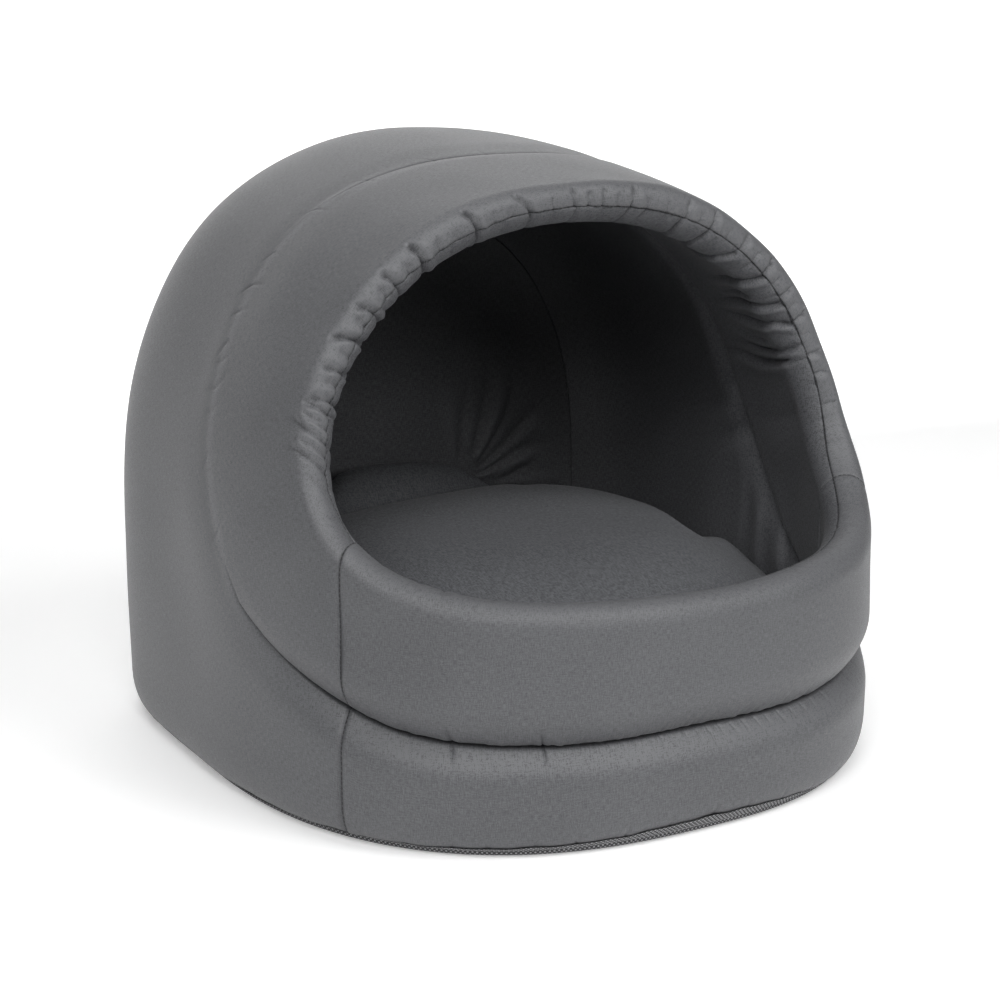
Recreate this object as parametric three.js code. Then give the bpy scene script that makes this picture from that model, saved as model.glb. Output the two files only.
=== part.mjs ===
import * as THREE from 'three';

// Soft house for a small pet: a padded hood, a padded front lip, a padded back, their linings,
// a loose cushion and a base sheet. Millimetres. X runs to the right as seen from the doorway,
// Y to the rear and Z up. The origin is at the middle of the base, on the surface.

// Plan: two half superellipses that meet at the widest line
const HALF_WIDTH = 210;
const FRONT_REACH = 238;
const REAR_REACH = 184;
const FRONT_ROUND = 2.5;
const REAR_ROUND = 5;

// Side walls stand upright to UPRIGHT, then a superellipse arch carries them to the ridge
const HEIGHT = 378;
const UPRIGHT = 122.5;
const UPRIGHT_SHARE = 0.27;
const ARCH_ROUND = 2.35;
const RIDGE_FALL = 0.00032;

// Walls, from the outside in: filled panel, seam gap, lining
const LINING = 2;
const GAP = 0.3;
const ROLL = 13.5;
const CORE = 2 * ROLL - LINING - GAP;
const BASE_SHEET = 3;
const BASE_SHEET_INSET = 9;
const FOOT = BASE_SHEET + GAP;

// How far the cloth is drawn in at each seam, and how far from the seam the padding is full again
const FRONT_GROOVE = 10;
const HOOD_GROOVE = 5;
const GROOVE_FADE_TURNS = [0.75, 1.4];
const GROOVE_REACH = 24;
const BASE_TUCK = 10;
const BASE_TUCK_REACH = 24;
const REAR_TUCK = 4;
const REAR_TUCK_REACH = 20;
const LINING_DIP = 3.5;
const LINING_DIP_REACH = 20;

// Gathers on the hood's roll, deepest at the shoulder angle
const GATHER = 1.8;
const GATHER_SHOULDER = 60;
const GATHER_UNEVENNESS = 0.8;
const GATHER_SEED = 2.3;

// Vertical seams between the lip and the hood, and the seam between the hood and the back,
// as turns about the middle of the plan from straight ahead
const SIDE_SEAM = 0.95;
const REAR_SEAM = 2.42;
const HALF_SEAM_GAP = 0.0009;
const REAR_GAP = 0.5;

// The plan's widest line lies behind the middle of the depth
const WAIST_Y = (FRONT_REACH - REAR_REACH - REAR_GAP) / 2;

// Seam lines on the right half, from the middle of the front up and over to the ridge
const RIM_LINE = [
  { turn: 0.0, rise: 0.296 },
  { turn: 0.36, rise: 0.3 },
  { turn: 0.68, rise: 0.309 },
  { turn: 0.9, rise: 0.335 },
  { turn: 1.04, rise: 0.395 },
  { turn: 1.105, rise: 0.51 },
  { turn: 1.118, rise: 0.67 },
  { turn: 1.118, rise: 0.84 },
  { turn: 1.118, rise: 1.0 },
];
const CHANNEL_LINE = [
  { turn: 0.0, rise: 0.1435 },
  { turn: 0.43, rise: 0.1425 },
  { turn: 0.86, rise: 0.161 },
  { turn: 1.245, rise: 0.249 },
  { turn: 1.465, rise: 0.38 },
  { turn: 1.545, rise: 0.57 },
  { turn: 1.555, rise: 0.73 },
  { turn: 1.53, rise: 0.88 },
  { turn: 1.505, rise: 1.0 },
];

// Share of the hood's columns that end along the foot, and how closely the rest start above the corner
const CORNER_SHARE = 0.4;
const CLIMB_POWER = 1.5;

// Columns run along the rim, rows run from the rim to the base. The roll at the rim turns about a
// line that lies ROLL inside the cloth: its rows are angles from the seam, outwards over the roll
// and inwards to the lining's side
const HOOD_COLUMNS = 48;
const FRONT_COLUMNS = 20;
const ROLL_ROWS = [
  { outward: 0, inward: 0 },
  { outward: 24, inward: 12 },
  { outward: 48, inward: 38 },
  { outward: 70, inward: 64 },
  { outward: 90, inward: 90 },
];
const LINING_START = 3;

// Rows past the roll: distances from each seam, and shares of the stretch that is left between them
const SEAM_ROWS = [0, 2.5, 9, 22];
const RING_SHARES = [0.5];
const BODY_SHARES = [0.3, 0.6, 0.82];

// The back panel as rings about its middle
const REAR_RINGS = [1, 0.95, 0.85, 0.6, 0.3];
const REAR_MIDDLE_Z = 150;
const BOTTOM_STEPS = 12;

const BASE_STEPS = 80;

// Cushion, inside the linings
const CUSHION_CLEARANCE = 4;
const CUSHION_FRONT_ROUND = 2.4;
const CUSHION_REAR_ROUND = 3;
const CUSHION_SEAM_Z = 44;
const CUSHION_CROWN = 88;
const CUSHION_CROWN_POWER = 3;
const CUSHION_UNDER_POWER = 9;
const CUSHION_UNDER_FULLNESS = 1.25;
const CUSHION_UNDER_SHARES = [0.45, 0.86, 0.93, 0.98];
const CUSHION_EDGE_FADE = 12;
const CUSHION_COLUMNS = 44;
const CUSHION_RINGS = 9;
const CUSHION_RING_POWER = 0.75;

// The cushion's rear margin is pushed up against the back, with a crease in front of it
const MARGIN = { x: -10, y: 138, halfLength: 85, halfDepth: 30, lift: 42 };
const CREASE = { x: 15, y: 106, slope: 0.2, halfLength: 80, halfDepth: 13, depth: 11 };

const greyCloth = { color: 0x66676b, roughness: 0.88, metalness: 0 };
const liningCloth = { color: 0x56575b, roughness: 0.92, metalness: 0 };
const cushionCloth = { color: 0x5c5d61, roughness: 0.9, metalness: 0 };
const gripCloth = { color: 0x3e3f43, roughness: 0.96, metalness: 0 };

const group = new THREE.Group();

function addPiece(name, geometry, cloth) {
  const mesh = new THREE.Mesh(geometry, new THREE.MeshStandardMaterial(cloth));
  mesh.name = name;
  mesh.position.y = WAIST_Y;
  group.add(mesh);
}

// A seam pulls the cloth in by depth, and the padding swells back over a quarter ellipse
function tuck(distance, depth, reach) {
  const left = 1 - Math.min(1, Math.max(0, distance) / reach);
  return depth * (1 - Math.sqrt(1 - left * left));
}

function planStretch(turn) {
  const round = Math.cos(turn) > 0 ? FRONT_ROUND : REAR_ROUND;
  return (Math.abs(Math.sin(turn)) ** round + Math.abs(Math.cos(turn)) ** round) ** (-1 / round);
}

function archPoint(rise) {
  const bend = Math.min(1, Math.max(0, (rise - UPRIGHT_SHARE) / (1 - UPRIGHT_SHARE))) * Math.PI / 2;
  return {
    across: Math.max(0, Math.cos(bend)) ** (2 / ARCH_ROUND),
    up: Math.sin(bend) ** (2 / ARCH_ROUND),
    wall: Math.min(1, rise / UPRIGHT_SHARE) * UPRIGHT,
  };
}

// A point of the wall: inset is measured inwards from the outside of the padding
function wallPoint(turn, rise, inset) {
  const stretch = planStretch(turn);
  const reach = Math.cos(turn) > 0 ? FRONT_REACH : REAR_REACH;
  const across = Math.sin(turn) * stretch;
  const y = -Math.cos(turn) * stretch * (reach - inset);
  const cornerInset = y > 0 ? (HALF_WIDTH - inset) * (1 - Math.abs(across)) : 0;
  const ridge = HEIGHT - inset - RIDGE_FALL * (REAR_REACH - y) ** 2 - cornerInset;
  const arch = archPoint(rise);
  return new THREE.Vector3(
    across * (HALF_WIDTH - inset) * arch.across,
    y,
    arch.wall + arch.up * (ridge - UPRIGHT),
  );
}

const FOOT_RISE = UPRIGHT_SHARE * FOOT / UPRIGHT;

// The turn grows along the first part of each seam line
const RISING_SHARE = 0.6;
const HALVINGS = 30;

// A seam line as a smooth curve that crosses the middle of the front and the ridge squarely
class SeamLine {
  constructor(rows) {
    const last = rows.length - 1;
    const before = new THREE.Vector2(-rows[1].turn, rows[1].rise);
    const after = new THREE.Vector2(rows[last - 1].turn, 2 - rows[last - 1].rise);
    const inner = rows.map((row) => new THREE.Vector2(row.turn, row.rise));
    this.curve = new THREE.SplineCurve([before, ...inner, after]);
    this.first = 1 / (last + 2);
    this.length = last / (last + 2);
  }

  at(share) {
    return this.curve.getPoint(this.first + share * this.length);
  }

  // The share of the line at which it first passes a given turn, by halving
  shareAtTurn(turn) {
    let low = 0;
    let high = RISING_SHARE;
    for (let i = 0; i < HALVINGS; i++) {
      const middle = (low + high) / 2;
      if (this.at(middle).x < turn) low = middle;
      else high = middle;
    }
    return low;
  }
}

const rimLine = new SeamLine(RIM_LINE);
const channelLine = new SeamLine(CHANNEL_LINE);

// Along the foot to the rear seam, then up the rear seam to the ridge
function hoodEdge(share, firstTurn) {
  if (share < CORNER_SHARE) {
    return new THREE.Vector2(THREE.MathUtils.lerp(firstTurn, REAR_SEAM, share / CORNER_SHARE), FOOT_RISE);
  }
  const climb = ((share - CORNER_SHARE) / (1 - CORNER_SHARE)) ** CLIMB_POWER;
  return new THREE.Vector2(REAR_SEAM, THREE.MathUtils.lerp(FOOT_RISE, 1, climb));
}

// The three seam lines of a panel at one column, as points in turn and rise
function hoodColumn(position) {
  const firstTurn = SIDE_SEAM + HALF_SEAM_GAP;
  const share = 1 - Math.abs(position);
  const along = (line) => {
    const start = line.shareAtTurn(firstTurn);
    return line.at(start + (1 - start) * share);
  };
  return {
    side: Math.sign(position) || 1,
    rim: along(rimLine),
    channel: along(channelLine),
    edge: hoodEdge(share, firstTurn),
  };
}

function frontColumn(position) {
  const lastTurn = SIDE_SEAM - HALF_SEAM_GAP;
  const along = (line) => line.at(line.shareAtTurn(lastTurn) * Math.abs(position));
  return {
    side: Math.sign(position) || 1,
    rim: along(rimLine),
    channel: along(channelLine),
    edge: new THREE.Vector2(lastTurn * Math.abs(position), FOOT_RISE),
  };
}

// Lengths of the two padded strips at one column
function measureColumn(column) {
  const rim = wallPoint(column.rim.x, column.rim.y, 0);
  const channel = wallPoint(column.channel.x, column.channel.y, 0);
  const edge = wallPoint(column.edge.x, column.edge.y, 0);
  column.ringLength = rim.distanceTo(channel);
  column.bodyLength = channel.distanceTo(edge);
  return column;
}

// A point at some way from the rim: 0 at the rim, 1 at the channel seam, 2 at the outer edge
function columnPoint(column, way, inset) {
  const place = way < 1
    ? column.rim.clone().lerp(column.channel, way)
    : column.channel.clone().lerp(column.edge, way - 1);
  const point = wallPoint(place.x, place.y, inset);
  point.x *= column.side;
  return point;
}

function grooveDepth(turn) {
  const fade = THREE.MathUtils.smoothstep(turn, ...GROOVE_FADE_TURNS);
  return THREE.MathUtils.lerp(FRONT_GROOVE, HOOD_GROOVE, fade);
}

function outerInset(column, way) {
  const place = way < 1
    ? column.rim.clone().lerp(column.channel, way)
    : column.channel.clone().lerp(column.edge, way - 1);
  const fromChannel = way < 1 ? (1 - way) * column.ringLength : (way - 1) * column.bodyLength;
  const footDistance = wallPoint(place.x, place.y, 0).z - FOOT;
  const rearDistance = (REAR_SEAM - place.x) * REAR_REACH;
  return Math.max(
    tuck(fromChannel, grooveDepth(column.channel.x), GROOVE_REACH),
    tuck(footDistance, BASE_TUCK, BASE_TUCK_REACH),
    tuck(rearDistance, REAR_TUCK, REAR_TUCK_REACH),
  );
}

function innerInset(column, way) {
  const fromChannel = way < 1 ? (1 - way) * column.ringLength : (way - 1) * column.bodyLength;
  return CORE - tuck(fromChannel, LINING_DIP, LINING_DIP_REACH);
}

function panelWays({ ringLength, bodyLength }) {
  const beforeChannel = SEAM_ROWS.map((row) => 1 - row / ringLength).reverse();
  const afterChannel = SEAM_ROWS.slice(1).map((row) => 1 + row / bodyLength);
  const beforeEdge = SEAM_ROWS.map((row) => 2 - row / bodyLength).reverse();
  const between = (from, to, shares) => shares.map((share) => THREE.MathUtils.lerp(from, to, share));
  return [
    ...between(ROLL / ringLength, beforeChannel[0], RING_SHARES),
    ...beforeChannel,
    ...afterChannel,
    ...between(afterChannel.at(-1), beforeEdge[0], BODY_SHARES),
    ...beforeEdge,
  ];
}

function rollPoint(column, degrees, radius) {
  const angle = THREE.MathUtils.degToRad(degrees);
  const way = (ROLL - radius * Math.cos(angle)) / column.ringLength;
  return columnPoint(column, way, ROLL - radius * Math.sin(angle));
}

// Gathers pinch every second column of the hood's roll, each by its own amount, most on its shoulder
function gatherDepth(index, degrees) {
  if (index % 2 === 0) return 0;
  const strength = 1 - GATHER_UNEVENNESS * (1 - Math.sin(index * GATHER_SEED)) / 2;
  const fromShoulder = THREE.MathUtils.degToRad(degrees - GATHER_SHOULDER);
  return GATHER * strength * Math.max(0, Math.cos(fromShoulder));
}

// Pairs of an outer and an inner point, from the rim to the outer edge
function panelSection(column, index, gathered) {
  const roll = ROLL_ROWS.map(({ outward, inward }) => {
    const pinch = gathered ? gatherDepth(index, outward) : 0;
    return [rollPoint(column, outward, ROLL - pinch), rollPoint(column, -inward, ROLL - LINING - GAP)];
  });
  const strips = panelWays(column).map((way) => [
    columnPoint(column, way, outerInset(column, way)),
    columnPoint(column, way, innerInset(column, way)),
  ]);
  return [...roll, ...strips];
}

function liningSection(column) {
  const roll = ROLL_ROWS.map(({ inward }) => {
    const angle = -Math.max(inward, LINING_START);
    return [rollPoint(column, angle, ROLL - LINING), rollPoint(column, angle, ROLL)];
  });
  const strips = panelWays(column).map((way) => [
    columnPoint(column, way, innerInset(column, way) + GAP),
    columnPoint(column, way, innerInset(column, way) + GAP + LINING),
  ]);
  return [...roll, ...strips];
}

// A closed slab from sections of point pairs: two skins, two long edges and two ends
function slabGeometry(sections) {
  const rows = sections[0].length;
  const positions = [];
  const faces = [];
  const at = (column, row, skin) => (column * rows + row) * 2 + skin;
  const quad = (a, b, c, d) => faces.push(a, b, c, a, c, d);
  for (const section of sections) {
    for (const pair of section) {
      for (const point of pair) positions.push(point.x, point.y, point.z);
    }
  }
  for (let i = 0; i + 1 < sections.length; i++) {
    for (let j = 0; j + 1 < rows; j++) {
      quad(at(i, j, 0), at(i + 1, j, 0), at(i + 1, j + 1, 0), at(i, j + 1, 0));
      quad(at(i, j, 1), at(i, j + 1, 1), at(i + 1, j + 1, 1), at(i + 1, j, 1));
    }
    quad(at(i, 0, 0), at(i, 0, 1), at(i + 1, 0, 1), at(i + 1, 0, 0));
    quad(at(i, rows - 1, 1), at(i, rows - 1, 0), at(i + 1, rows - 1, 0), at(i + 1, rows - 1, 1));
  }
  const last = sections.length - 1;
  for (let j = 0; j + 1 < rows; j++) {
    quad(at(0, j, 0), at(0, j + 1, 0), at(0, j + 1, 1), at(0, j, 1));
    quad(at(last, j, 1), at(last, j + 1, 1), at(last, j + 1, 0), at(last, j, 0));
  }
  return closedGeometry(positions, faces);
}

// Turns the faces outward if the enclosed volume comes out negative
function closedGeometry(positions, faces) {
  const corner = (index) => new THREE.Vector3().fromArray(positions, index * 3);
  let volume = 0;
  for (let i = 0; i < faces.length; i += 3) {
    volume += corner(faces[i]).dot(corner(faces[i + 1]).cross(corner(faces[i + 2])));
  }
  if (volume < 0) faces.reverse();
  const geometry = new THREE.BufferGeometry();
  geometry.setAttribute('position', new THREE.Float32BufferAttribute(positions, 3));
  geometry.setIndex(faces);
  geometry.computeVertexNormals();
  return geometry;
}

// A closed body from rings of equal length, each end closed by a fan to its pole. The later half
// takes the other diagonals, so that skins that face each other have the same facets
function ringGeometry(firstPole, rings, lastPole) {
  const count = rings[0].length;
  const positions = [];
  const faces = [];
  for (const point of [firstPole, ...rings.flat(), lastPole]) positions.push(point.x, point.y, point.z);
  const end = rings.length * count + 1;
  for (let j = 0; j < count; j++) {
    const next = (j + 1) % count;
    faces.push(0, 1 + next, 1 + j);
    for (let i = 0; i + 1 < rings.length; i++) {
      const low = 1 + i * count;
      const high = low + count;
      const early = i < rings.length / 2;
      faces.push(low + j, low + next, early ? high + next : high + j);
      faces.push(early ? low + j : low + next, high + next, high + j);
    }
    const top = end - count;
    faces.push(top + j, top + next, end);
  }
  return closedGeometry(positions, faces);
}

function columnPositions(count) {
  return Array.from({ length: count + 1 }, (_, i) => -1 + 2 * i / count);
}

// Hood and front lip with their linings
function addWalls() {
  const hoodColumns = columnPositions(HOOD_COLUMNS).map((p) => measureColumn(hoodColumn(p)));
  const frontColumns = columnPositions(FRONT_COLUMNS).map((p) => measureColumn(frontColumn(p)));
  addPiece('hood_panel', slabGeometry(hoodColumns.map((c, i) => panelSection(c, i, true))), greyCloth);
  addPiece('hood_lining', slabGeometry(hoodColumns.map(liningSection)), liningCloth);
  addPiece('front_panel', slabGeometry(frontColumns.map((c, i) => panelSection(c, i, false))), greyCloth);
  addPiece('front_lining', slabGeometry(frontColumns.map(liningSection)), liningCloth);
}

// The back closes the rear arch. Its outline is the hood's rear seam, and its face swells
// towards the middle as the plan's rear superellipse does
const REAR_SHARE = Math.abs(Math.sin(REAR_SEAM)) * planStretch(REAR_SEAM);

function rearFace(x, z, inset) {
  const halfWidth = (HALF_WIDTH - inset) * REAR_SHARE;
  const archHeight = HEIGHT - inset - (HALF_WIDTH - inset) * (1 - REAR_SHARE) - UPRIGHT;
  const side = Math.abs(x) / halfWidth;
  const up = Math.max(0, z - UPRIGHT) / archHeight;
  const fullness = Math.min(1, (side ** ARCH_ROUND + up ** ARCH_ROUND) ** (1 / ARCH_ROUND));
  return (REAR_REACH - inset) * (1 - (fullness * REAR_SHARE) ** REAR_ROUND) ** (1 / REAR_ROUND);
}

// The rear seam as points from the left foot over the ridge to the right foot, then back along the foot
function rearOutline({ edge, face, foot }) {
  const climbs = [];
  for (const position of columnPositions(HOOD_COLUMNS)) {
    const share = 1 - Math.abs(position);
    if (share < CORNER_SHARE) continue;
    const seam = hoodEdge(share, SIDE_SEAM);
    const height = wallPoint(seam.x, seam.y, 0).z - FOOT;
    const drawnIn = foot ? tuck(height, BASE_TUCK, BASE_TUCK_REACH) : 0;
    const point = wallPoint(seam.x, seam.y, Math.max(edge, drawnIn));
    point.x *= Math.sign(position) || 1;
    climbs.push(point);
  }
  const halfFoot = climbs[climbs.length - 1].x;
  const bottom = [];
  for (let i = 1; i < BOTTOM_STEPS; i++) {
    const x = halfFoot * (1 - 2 * i / BOTTOM_STEPS);
    bottom.push(new THREE.Vector3(x, rearFace(x, FOOT, face) - (foot ? BASE_TUCK : 0), FOOT));
  }
  return [...climbs, ...bottom];
}

// One skin of the back as rings about its middle. Linings lie step forward of the same skin
function rearSkin({ edge, face, foot, step }) {
  const rim = rearOutline({ edge: edge + step, face: face + step, foot });
  const shape = rearOutline({ edge, face, foot });
  return REAR_RINGS.map((scale) => shape.map((corner, i) => {
    if (scale === 1) return rim[i].setY(rim[i].y + REAR_GAP);
    const x = corner.x * scale;
    const z = THREE.MathUtils.lerp(REAR_MIDDLE_Z, corner.z, scale);
    const drawnIn = foot ? tuck(z - FOOT, BASE_TUCK, BASE_TUCK_REACH) : 0;
    return new THREE.Vector3(x, rearFace(x, z, face) - drawnIn - step + REAR_GAP, z);
  }));
}

function rearPlate(outside, inside) {
  const pole = ({ face, step }) => (
    new THREE.Vector3(0, rearFace(0, REAR_MIDDLE_Z, face) - step + REAR_GAP, REAR_MIDDLE_Z)
  );
  const rings = [...rearSkin(outside).reverse(), ...rearSkin(inside)];
  return ringGeometry(pole(outside), rings, pole(inside));
}

function addBack() {
  const outside = { edge: REAR_TUCK, face: 0, foot: true, step: 0 };
  const inside = { edge: CORE, face: CORE, foot: false, step: 0 };
  const liningOutside = { ...inside, step: GAP };
  const liningInside = { ...inside, step: GAP + LINING };
  addPiece('back_panel', rearPlate(outside, inside), greyCloth);
  addPiece('back_lining', rearPlate(liningOutside, liningInside), liningCloth);
}

// Base sheet: the plan's outline, drawn in, as a flat sheet that lies on the surface
function addBase() {
  const outline = new THREE.Shape();
  for (let i = 0; i < BASE_STEPS; i++) {
    const turn = i / BASE_STEPS * 2 * Math.PI;
    const stretch = planStretch(turn);
    const reach = Math.cos(turn) > 0 ? FRONT_REACH : REAR_REACH;
    const x = Math.sin(turn) * stretch * (HALF_WIDTH - BASE_SHEET_INSET);
    const y = -Math.cos(turn) * stretch * (reach - BASE_SHEET_INSET);
    if (i === 0) outline.moveTo(x, y);
    else outline.lineTo(x, y);
  }
  const sheet = new THREE.ExtrudeGeometry(outline, { depth: BASE_SHEET, bevelEnabled: false });
  addPiece('base_sheet', sheet, gripCloth);
}

// Cushion: rings from the middle of the underside, out to the seam and back over the crown
function cushionOutline(turn) {
  const inset = CORE + GAP + LINING + CUSHION_CLEARANCE;
  const ahead = Math.cos(turn) > 0;
  const round = ahead ? CUSHION_FRONT_ROUND : CUSHION_REAR_ROUND;
  const side = Math.sin(turn);
  const forward = Math.cos(turn);
  const stretch = (Math.abs(side) ** round + Math.abs(forward) ** round) ** (-1 / round);
  const reach = (ahead ? FRONT_REACH : REAR_REACH) - inset;
  return { x: side * stretch * (HALF_WIDTH - inset), y: -forward * stretch * reach };
}

function bump(x, y, { halfLength, halfDepth }) {
  return Math.exp(-((x / halfLength) ** 4) - (y / halfDepth) ** 2);
}

// Height of the cushion's upper side, at a share of the way from the middle to the seam
function cushionTop(x, y, share) {
  const dome = CUSHION_CROWN * Math.sqrt(1 - share ** CUSHION_CROWN_POWER);
  const fade = 1 - share ** CUSHION_EDGE_FADE;
  const margin = MARGIN.lift * bump(x - MARGIN.x, y - MARGIN.y, MARGIN);
  const creaseY = CREASE.y + CREASE.slope * (x - CREASE.x);
  const crease = CREASE.depth * bump(x - CREASE.x, y - creaseY, CREASE);
  return CUSHION_SEAM_Z + dome + fade * (margin - crease);
}

function addCushion() {
  const turns = Array.from({ length: CUSHION_COLUMNS }, (_, i) => i / CUSHION_COLUMNS * 2 * Math.PI);
  const rings = [];
  const addRing = (share, height) => {
    rings.push(turns.map((turn) => {
      const edge = cushionOutline(turn);
      const x = edge.x * share;
      const y = edge.y * share;
      return new THREE.Vector3(x, y, height(x, y));
    }));
  };
  const drop = CUSHION_SEAM_Z - FOOT;
  for (const share of CUSHION_UNDER_SHARES) {
    const swell = CUSHION_UNDER_FULLNESS * Math.sqrt(1 - share ** CUSHION_UNDER_POWER);
    addRing(share, () => CUSHION_SEAM_Z - drop * Math.min(1, swell));
  }
  addRing(1, () => CUSHION_SEAM_Z);
  for (let i = 1; i < CUSHION_RINGS; i++) {
    const share = Math.cos(i / CUSHION_RINGS * Math.PI / 2) ** CUSHION_RING_POWER;
    addRing(share, (x, y) => cushionTop(x, y, share));
  }
  const under = new THREE.Vector3(0, 0, FOOT);
  const crown = new THREE.Vector3(0, 0, cushionTop(0, 0, 0));
  addPiece('cushion', ringGeometry(under, rings, crown), cushionCloth);
}

addBase();
addWalls();
addBack();
addCushion();

export default group;
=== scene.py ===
import math

import bmesh
import bpy
import numpy as np
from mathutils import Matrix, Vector


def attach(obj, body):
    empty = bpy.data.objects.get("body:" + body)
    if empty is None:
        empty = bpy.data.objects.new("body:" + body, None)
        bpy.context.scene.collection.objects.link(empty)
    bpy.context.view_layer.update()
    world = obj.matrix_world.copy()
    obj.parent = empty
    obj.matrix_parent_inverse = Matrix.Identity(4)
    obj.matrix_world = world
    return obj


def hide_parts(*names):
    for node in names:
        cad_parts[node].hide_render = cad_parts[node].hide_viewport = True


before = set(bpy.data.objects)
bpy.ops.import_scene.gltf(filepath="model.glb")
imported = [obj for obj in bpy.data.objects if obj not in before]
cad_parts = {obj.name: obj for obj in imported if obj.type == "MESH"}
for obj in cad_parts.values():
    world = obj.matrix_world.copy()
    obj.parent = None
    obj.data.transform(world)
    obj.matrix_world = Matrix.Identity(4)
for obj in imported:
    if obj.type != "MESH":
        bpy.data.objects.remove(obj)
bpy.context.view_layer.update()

scene = bpy.context.scene
scene.view_settings.view_transform = "Standard"
mm = 0.001

# The camera stands in front of the house, to its left
viewpoint = {
    "azimuth": -30.085,  # degrees round from straight ahead
    "elevation": 13.496,
    "distance": 1.2997,
    "target": (0.0037, 0.0268, 0.1430),
    "lens": 72.96,  # on a sensor 36 mm wide
}


def addCamera():
    data = bpy.data.cameras.new("camera")
    data.lens = viewpoint["lens"]
    data.sensor_width = 36
    camera = bpy.data.objects.new("camera", data)
    scene.collection.objects.link(camera)
    azimuth = math.radians(viewpoint["azimuth"])
    elevation = math.radians(viewpoint["elevation"])
    back = Vector((
        math.sin(azimuth) * math.cos(elevation),
        -math.cos(azimuth) * math.cos(elevation),
        math.sin(elevation),
    ))
    camera.location = Vector(viewpoint["target"]) + back * viewpoint["distance"]
    camera.rotation_mode = "QUATERNION"
    camera.rotation_quaternion = (-back).to_track_quat("-Z", "Y")
    scene.camera = camera


addCamera()

# The padded shell, as the solids have it: a plan of two half superellipses, upright walls, and
# an arch over them. A place on it is a turn about the middle of the plan, from straight ahead,
# and a rise, from 0 on the floor to 1 on the ridge
shell = {
    "halfWidth": 210 * mm,
    "frontReach": 238 * mm,
    "rearReach": 184 * mm,
    "frontRound": 2.5,
    "rearRound": 5,
    "height": 378 * mm,
    "upright": 122.5 * mm,
    "uprightShare": 0.27,
    "archRound": 2.35,
    "ridgeFall": 0.32,
    "rearGap": 0.5 * mm,
    "roll": 13.5 * mm,  # radius of the roll at the rim; the wall is twice as thick
    "foot": 3.3 * mm,
    "lining": 2 * mm,
    "sideSeam": 0.95,  # turn of the vertical seams between the lip and the hood
    "halfSeamGap": 0.0009,
    "lipSeamAngle": math.radians(24),  # the lip's cloth reaches this far over the top of the roll
    "seamSlide": 70 * mm,  # the hood's rim seam comes up to the lip's over this length
    "rearSeam": 2.42,
    "cornerShare": 0.4,  # share of the hood's columns that end along the foot
    "climbPower": 1.5,
}
waist = (shell["frontReach"] - shell["rearReach"] - shell["rearGap"]) / 2
roll = shell["roll"]
wall = 2 * roll
footRise = shell["uprightShare"] * shell["foot"] / shell["upright"]

rimLine = [  # turn, rise
    (0.0, 0.296), (0.36, 0.3), (0.68, 0.309), (0.9, 0.335), (1.04, 0.395),
    (1.105, 0.51), (1.118, 0.67), (1.118, 0.84), (1.118, 1.0),
]
channelLine = [  # turn, rise
    (0.0, 0.1435), (0.43, 0.1425), (0.86, 0.161), (1.245, 0.249), (1.465, 0.38),
    (1.545, 0.57), (1.555, 0.73), (1.53, 0.88), (1.505, 1.0),
]


def smooth(low, high, value):
    share = np.clip((value - low) / (high - low), 0, 1)
    return share * share * (3 - 2 * share)


def bell(value, middle, width):
    return np.exp(-(((value - middle) / width) ** 2))


def planStretch(turn):
    power = np.where(np.cos(turn) > 0, shell["frontRound"], shell["rearRound"])
    return (np.abs(np.sin(turn)) ** power + np.abs(np.cos(turn)) ** power) ** (-1 / power)


def wallPoint(turn, rise, inset):
    stretch = planStretch(turn)
    reach = np.where(np.cos(turn) > 0, shell["frontReach"], shell["rearReach"])
    across = np.sin(turn) * stretch
    y = -np.cos(turn) * stretch * (reach - inset)
    halfWidth = shell["halfWidth"] - inset
    corner = np.where(y > 0, halfWidth * (1 - np.abs(across)), 0)
    ridge = shell["height"] - inset - shell["ridgeFall"] * (shell["rearReach"] - y) ** 2 - corner
    bend = np.clip((rise - shell["uprightShare"]) / (1 - shell["uprightShare"]), 0, 1) * math.pi / 2
    x = across * halfWidth * np.maximum(np.cos(bend), 0) ** (2 / shell["archRound"])
    upright = np.minimum(1, rise / shell["uprightShare"]) * shell["upright"]
    z = upright + np.sin(bend) ** (2 / shell["archRound"]) * (ridge - shell["upright"])
    return np.stack([x, y + waist, z], axis=-1)


class SeamLine:
    # A smooth curve through its rows that crosses the middle of the front and the ridge squarely
    samples = 2001
    risingShare = 0.6  # the turn grows along this part of each line

    def __init__(self, rows):
        rows = np.array(rows)
        before = [[-rows[1, 0], rows[1, 1]]]
        after = [[rows[-2, 0], 2 - rows[-2, 1]]]
        knots = np.concatenate([before, rows, after])
        place = np.linspace(0, len(rows) - 1, self.samples)
        index = np.minimum(place.astype(int), len(rows) - 2)
        t = (place - index)[:, None]
        p0, p1, p2, p3 = (knots[index + k] for k in range(4))
        lead = (p2 - p0) / 2
        trail = (p3 - p1) / 2
        self.shares = np.linspace(0, 1, self.samples)
        self.points = (
            (2 * t**3 - 3 * t**2 + 1) * p1 + (t**3 - 2 * t**2 + t) * lead
            + (3 * t**2 - 2 * t**3) * p2 + (t**3 - t**2) * trail
        )

    def at(self, share):
        return np.stack([np.interp(share, self.shares, self.points[:, k]) for k in range(2)], axis=-1)

    def shareAtTurn(self, turn):
        rising = int(self.risingShare * self.samples)
        return np.interp(turn, self.points[:rising, 0], self.shares[:rising])


rim = SeamLine(rimLine)
channel = SeamLine(channelLine)


def hoodEdge(share, firstTurn):
    # Along the foot to the rear seam, then up the rear seam to the ridge
    corner = shell["cornerShare"]
    alongFoot = firstTurn + (shell["rearSeam"] - firstTurn) * np.minimum(1, share / corner)
    climb = np.clip((share - corner) / (1 - corner), 0, 1) ** shell["climbPower"]
    return np.stack([alongFoot, footRise + (1 - footRise) * climb], axis=-1)


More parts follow.
